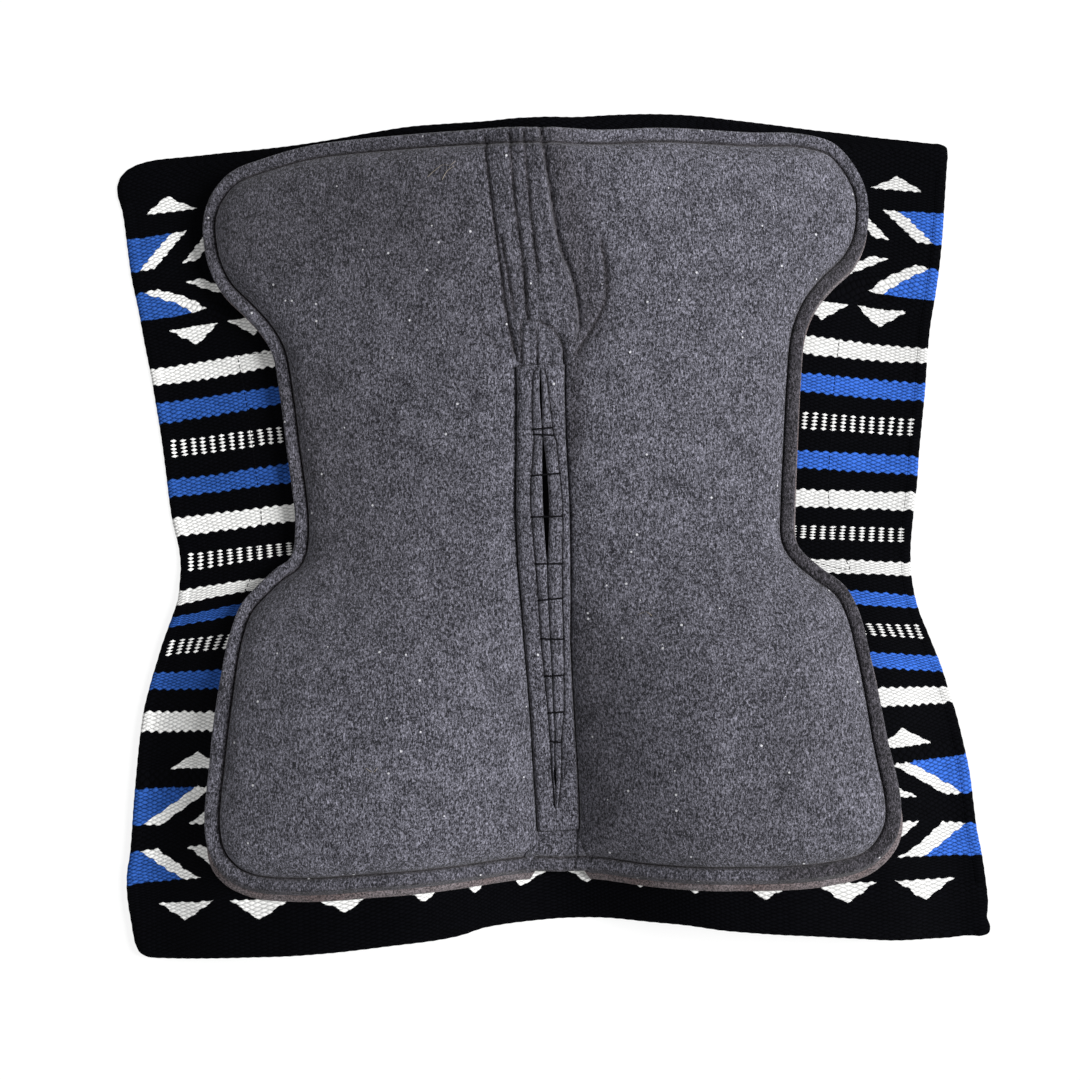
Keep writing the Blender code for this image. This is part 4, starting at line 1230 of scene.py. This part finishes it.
def end_line(u, ahead):
    """Where the felt ends, in front or behind, at u."""
    found = np.zeros_like(u)
    for side, _ in SIDES:
        edge = FELT_EDGE[side]
        edge = edge[(edge[:, 0] < 0.07) & ((edge[:, 1] > 0) == ahead)]
        order = np.argsort(edge[:, 0])
        here = np.interp(np.abs(u), edge[order, 0], edge[order, 1])
        found = np.where(u * side >= 0, here, found)
    return found


def make_gusset(name, node, ahead, folds):
    v_strip = STRIP_FRONT + 0.0005 if ahead else STRIP_REAR - 0.0005
    cells = 72
    count = 150 if ahead else 40
    shares = np.linspace(0, 1, count + 1)[:, None]
    ts = np.linspace(-1, 1, cells + 1)[None, :]
    v = np.repeat(v_strip + shares * 0.1 * (1 if ahead else -1), cells + 1, 1)
    for _ in range(6):
        u = ts * gusset_reach(v, ahead)
        v = v_strip + (end_line(u, ahead) + (0.0003 if ahead else -0.0003) - v_strip) * shares
    u, v, t = u.ravel(), v.ravel(), np.abs(np.repeat(ts, count + 1, 0)).ravel()
    height = felt_height(u, v) + 0.00018 - 0.0004 * smooth((t - 0.45) / 0.5)
    start = np.abs(v - v_strip)
    height -= folded(u, v, folds) * smooth(start / 0.004)
    height -= 1.2 * MM * np.exp(-start / 0.0012)
    if ahead:
        ridge = curve_through(GUSSET_RIDGE, 0.003)
        height += 2.2 * MM * np.exp(-(distance(np.stack([u, v], -1), ridge) / 0.005) ** 2)
        wave = 0.7 * np.sin(u * 420 + v * 45) + 0.35 * np.sin(u * 910 - v * 70 + 1.3)
        height += wave * MM * smooth((0.036 - np.abs(u)) / 0.02)
    top = lay(u, v, height).reshape(count + 1, cells + 1, 3)
    bottom = lay(u, v, GUSSET_LOW).reshape(count + 1, cells + 1, 3)[:, ::-4]
    made = sweep(name, np.concatenate([top, bottom], 1), GUSSET_FELT)

    def both(values):
        grid = values.reshape(count + 1, cells + 1)
        return np.concatenate([grid, grid[:, ::-4]], 1).ravel()

    mark_painted_shade(made, both(u), both(v), folds)
    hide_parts(node)
    bends(made)


# Wear leathers

def make_leathers():
    loop = curve_through(LEATHER + LEATHER[:1], 0.004)[:-1]
    closed = np.concatenate([loop, loop[:1]])
    spots = lattice(0.008, 0.008, loop)
    spots = spots[distance(spots, closed) > 0.0055]
    for side, name in SIDES:
        def high(u, v):
            d = distance(np.stack([np.abs(u), v], -1), closed)
            return -0.0008 - rounded(d, 0.0016, 0.0008)

        def low(u, v):
            d = distance(np.stack([np.abs(u), v], -1), closed)
            seam = 0.0005 * np.exp(-((d - 0.006) / 0.0012) ** 2)
            return -0.0038 + rounded(d, 0.0016, 0.0010) + seam

        made, _ = shell(name + "_leather_panel", loop * (side, 1), spots * (side, 1), low, high,
                           LEATHER_HIDE, wall=((0.5, 0.0003),))
        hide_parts(name + "_wear_leather")
        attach(made, name + "_half")


# A stitch from end to end: (share of its half length, share of its thickness, height in mm)
STITCH_RINGS = ((-1, 0.2, 3.9), (-0.5, 1, 4.3), (0.5, 1, 4.3), (1, 0.2, 3.9))


def make_leather_stitches():
    """The leathers are sewn through the blanket, so short stitches show on its upper side."""
    path = evenly(inset(curve_through(LEATHER + LEATHER[:1], 0.003), 0.009), 0.0062)
    run = np.gradient(path, axis=0)
    cross = -beside(run)
    run /= np.linalg.norm(run, axis=1, keepdims=True)
    for side, name in SIDES:
        verts, faces = [], []
        for middle, along, across in zip(path[:-1], run, cross):
            start = len(verts)
            for share, thick, lift in STITCH_RINGS:
                for turn in range(6):
                    angle = math.tau * turn / 6
                    out = math.cos(angle) * 0.0004 * thick
                    flat = middle + along * share * 0.0027 + across * out
                    height = (lift + math.sin(angle) * 0.4 * thick) * MM
                    verts.append(lay(flat[0] * side, flat[1], height))
            for i in range(3):
                for j in range(6):
                    k = (j + 1) % 6
                    a, b = start + i * 6, start + i * 6 + 6
                    faces.append((a + j, a + k, b + k, b + j))
            faces.append(tuple(start + j for j in range(6))[::-1])
            faces.append(tuple(start + 18 + j for j in range(6)))
        made = turn_out(add_object(name + "_leather_stitches", verts, faces, SEAM_THREAD))
        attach(made, name + "_half")


STRAY_FIBRES = (
    ((-101, 367), (-93, 373), (-84, 378), (-78, 376), (-72, 380)),
    ((-86, 362), (-80, 371), (-73, 375)),
    ((96, -98), (104, -96), (110, -101)),
    ((-188, -236), (-181, -240), (-176, -236)),
)


def make_stray_fibres():
    for number, points in enumerate(STRAY_FIBRES, 1):
        path = curve_through(points, 0.0015)
        height = felt_height(path[:, 0], path[:, 1])
        rings = []
        for turn in range(5):
            angle = math.tau * turn / 5
            rings.append(lay(path[:, 0] + math.cos(angle) * 0.00028, path[:, 1],
                             height + 0.0006 + math.sin(angle) * 0.00028))
        made = sweep(f"stray_fibre_{number}", np.stack(rings, 1), STRAY_THREAD)
        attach(made, "right_half" if points[0][0] > 0 else "left_half")


def make_scene():
    make_blanket()
    make_hems()
    make_sides()
    make_foam()
    make_strip()
    make_facing()
    make_tacks()
    make_gusset("front_pleats", "front_gusset", True, FRONT_FOLDS)
    make_gusset("rear_pleats", "rear_gusset", False, REAR_FOLDS)
    make_leathers()
    make_leather_stitches()
    make_stray_fibres()


make_scene()


# Floor, camera and light

# How strongly the white room lights the pad. To the camera its strength is 1.
ROOM_LIGHT = 0.135


def make_floor():
    bpy.ops.mesh.primitive_plane_add(size=14.0, location=(0, 0, -0.0002))
    floor = bpy.context.active_object
    floor.name = "floor"
    made = bpy.data.materials.new("floor_paint")
    made.use_nodes = True
    tree = made.node_tree
    tree.nodes.clear()
    out = tree.nodes.new("ShaderNodeOutputMaterial")
    matt = tree.nodes.new("ShaderNodeBsdfDiffuse")
    matt.inputs["Color"].default_value = grey(0.8)
    pale = tree.nodes.new("ShaderNodeBsdfDiffuse")
    pale.inputs["Color"].default_value = grey(0.16)
    glow = tree.nodes.new("ShaderNodeEmission")
    glow.inputs["Strength"].default_value = 0.85
    added = tree.nodes.new("ShaderNodeAddShader")
    feed(added.inputs[0], pale.outputs[0])
    feed(added.inputs[1], glow.outputs[0])
    path = tree.nodes.new("ShaderNodeLightPath")
    seen = tree.nodes.new("ShaderNodeMixShader")
    feed(seen.inputs[0], path.outputs["Is Camera Ray"])
    feed(seen.inputs[1], matt.outputs[0])
    feed(seen.inputs[2], added.outputs[0])
    feed(out.inputs[0], seen.outputs[0])
    floor.data.materials.append(made)


def make_world():
    world = bpy.data.worlds.new("studio")
    bpy.context.scene.world = world
    world.use_nodes = True
    back = world.node_tree.nodes["Background"]
    back.inputs["Color"].default_value = WHITE
    seen = world.node_tree.nodes.new("ShaderNodeLightPath").outputs
    bright = step("MAXIMUM", Value(seen["Is Camera Ray"]), seen["Is Glossy Ray"])
    bright = step("MAXIMUM", bright, seen["Is Transmission Ray"])
    feed(back.inputs["Strength"], ranged(bright, 0.0, 1.0, ROOM_LIGHT, 1.0))


def make_lamp(name, place, target, power, width):
    data = bpy.data.lights.new(name, "AREA")
    data.energy = power
    data.shape = "SQUARE"
    data.size = width
    lamp = bpy.data.objects.new(name, data)
    lamp.location = place
    lamp.rotation_mode = "QUATERNION"
    lamp.rotation_quaternion = (Vector(target) - Vector(place)).to_track_quat("-Z", "Y")
    bpy.context.scene.collection.objects.link(lamp)


def make_camera():
    tilt, roll, away = math.radians(5.5), math.radians(2.14), 1.62
    target = Vector((-0.0067, -0.0066, 0.0))
    right = Vector((math.cos(roll), -math.sin(roll), 0.0))
    ahead = Vector((math.sin(roll), math.cos(roll), 0.0))
    up_axis = Vector((0.0, 0.0, 1.0))
    back = up_axis * math.cos(tilt) - ahead * math.sin(tilt)
    up = ahead * math.cos(tilt) + up_axis * math.sin(tilt)
    data = bpy.data.cameras.new("camera")
    data.lens = 50.0
    data.sensor_width = 36.0
    camera = bpy.data.objects.new("camera", data)
    camera.matrix_world = Matrix(((right.x, up.x, back.x, target.x + back.x * away),
                                  (right.y, up.y, back.y, target.y + back.y * away),
                                  (right.z, up.z, back.z, target.z + back.z * away),
                                  (0.0, 0.0, 0.0, 1.0)))
    bpy.context.scene.collection.objects.link(camera)
    bpy.context.scene.camera = camera


make_floor()
make_world()
make_lamp("key_light", (4.6, 0.3, 3.86), (0.0, 0.0, 0.0), 630.0, 2.4)
make_lamp("fill_light", (-3.2, -2.4, 3.4), (0.0, 0.0, 0.0), 90.0, 2.6)
make_camera()
bpy.context.scene.view_settings.view_transform = "Standard"
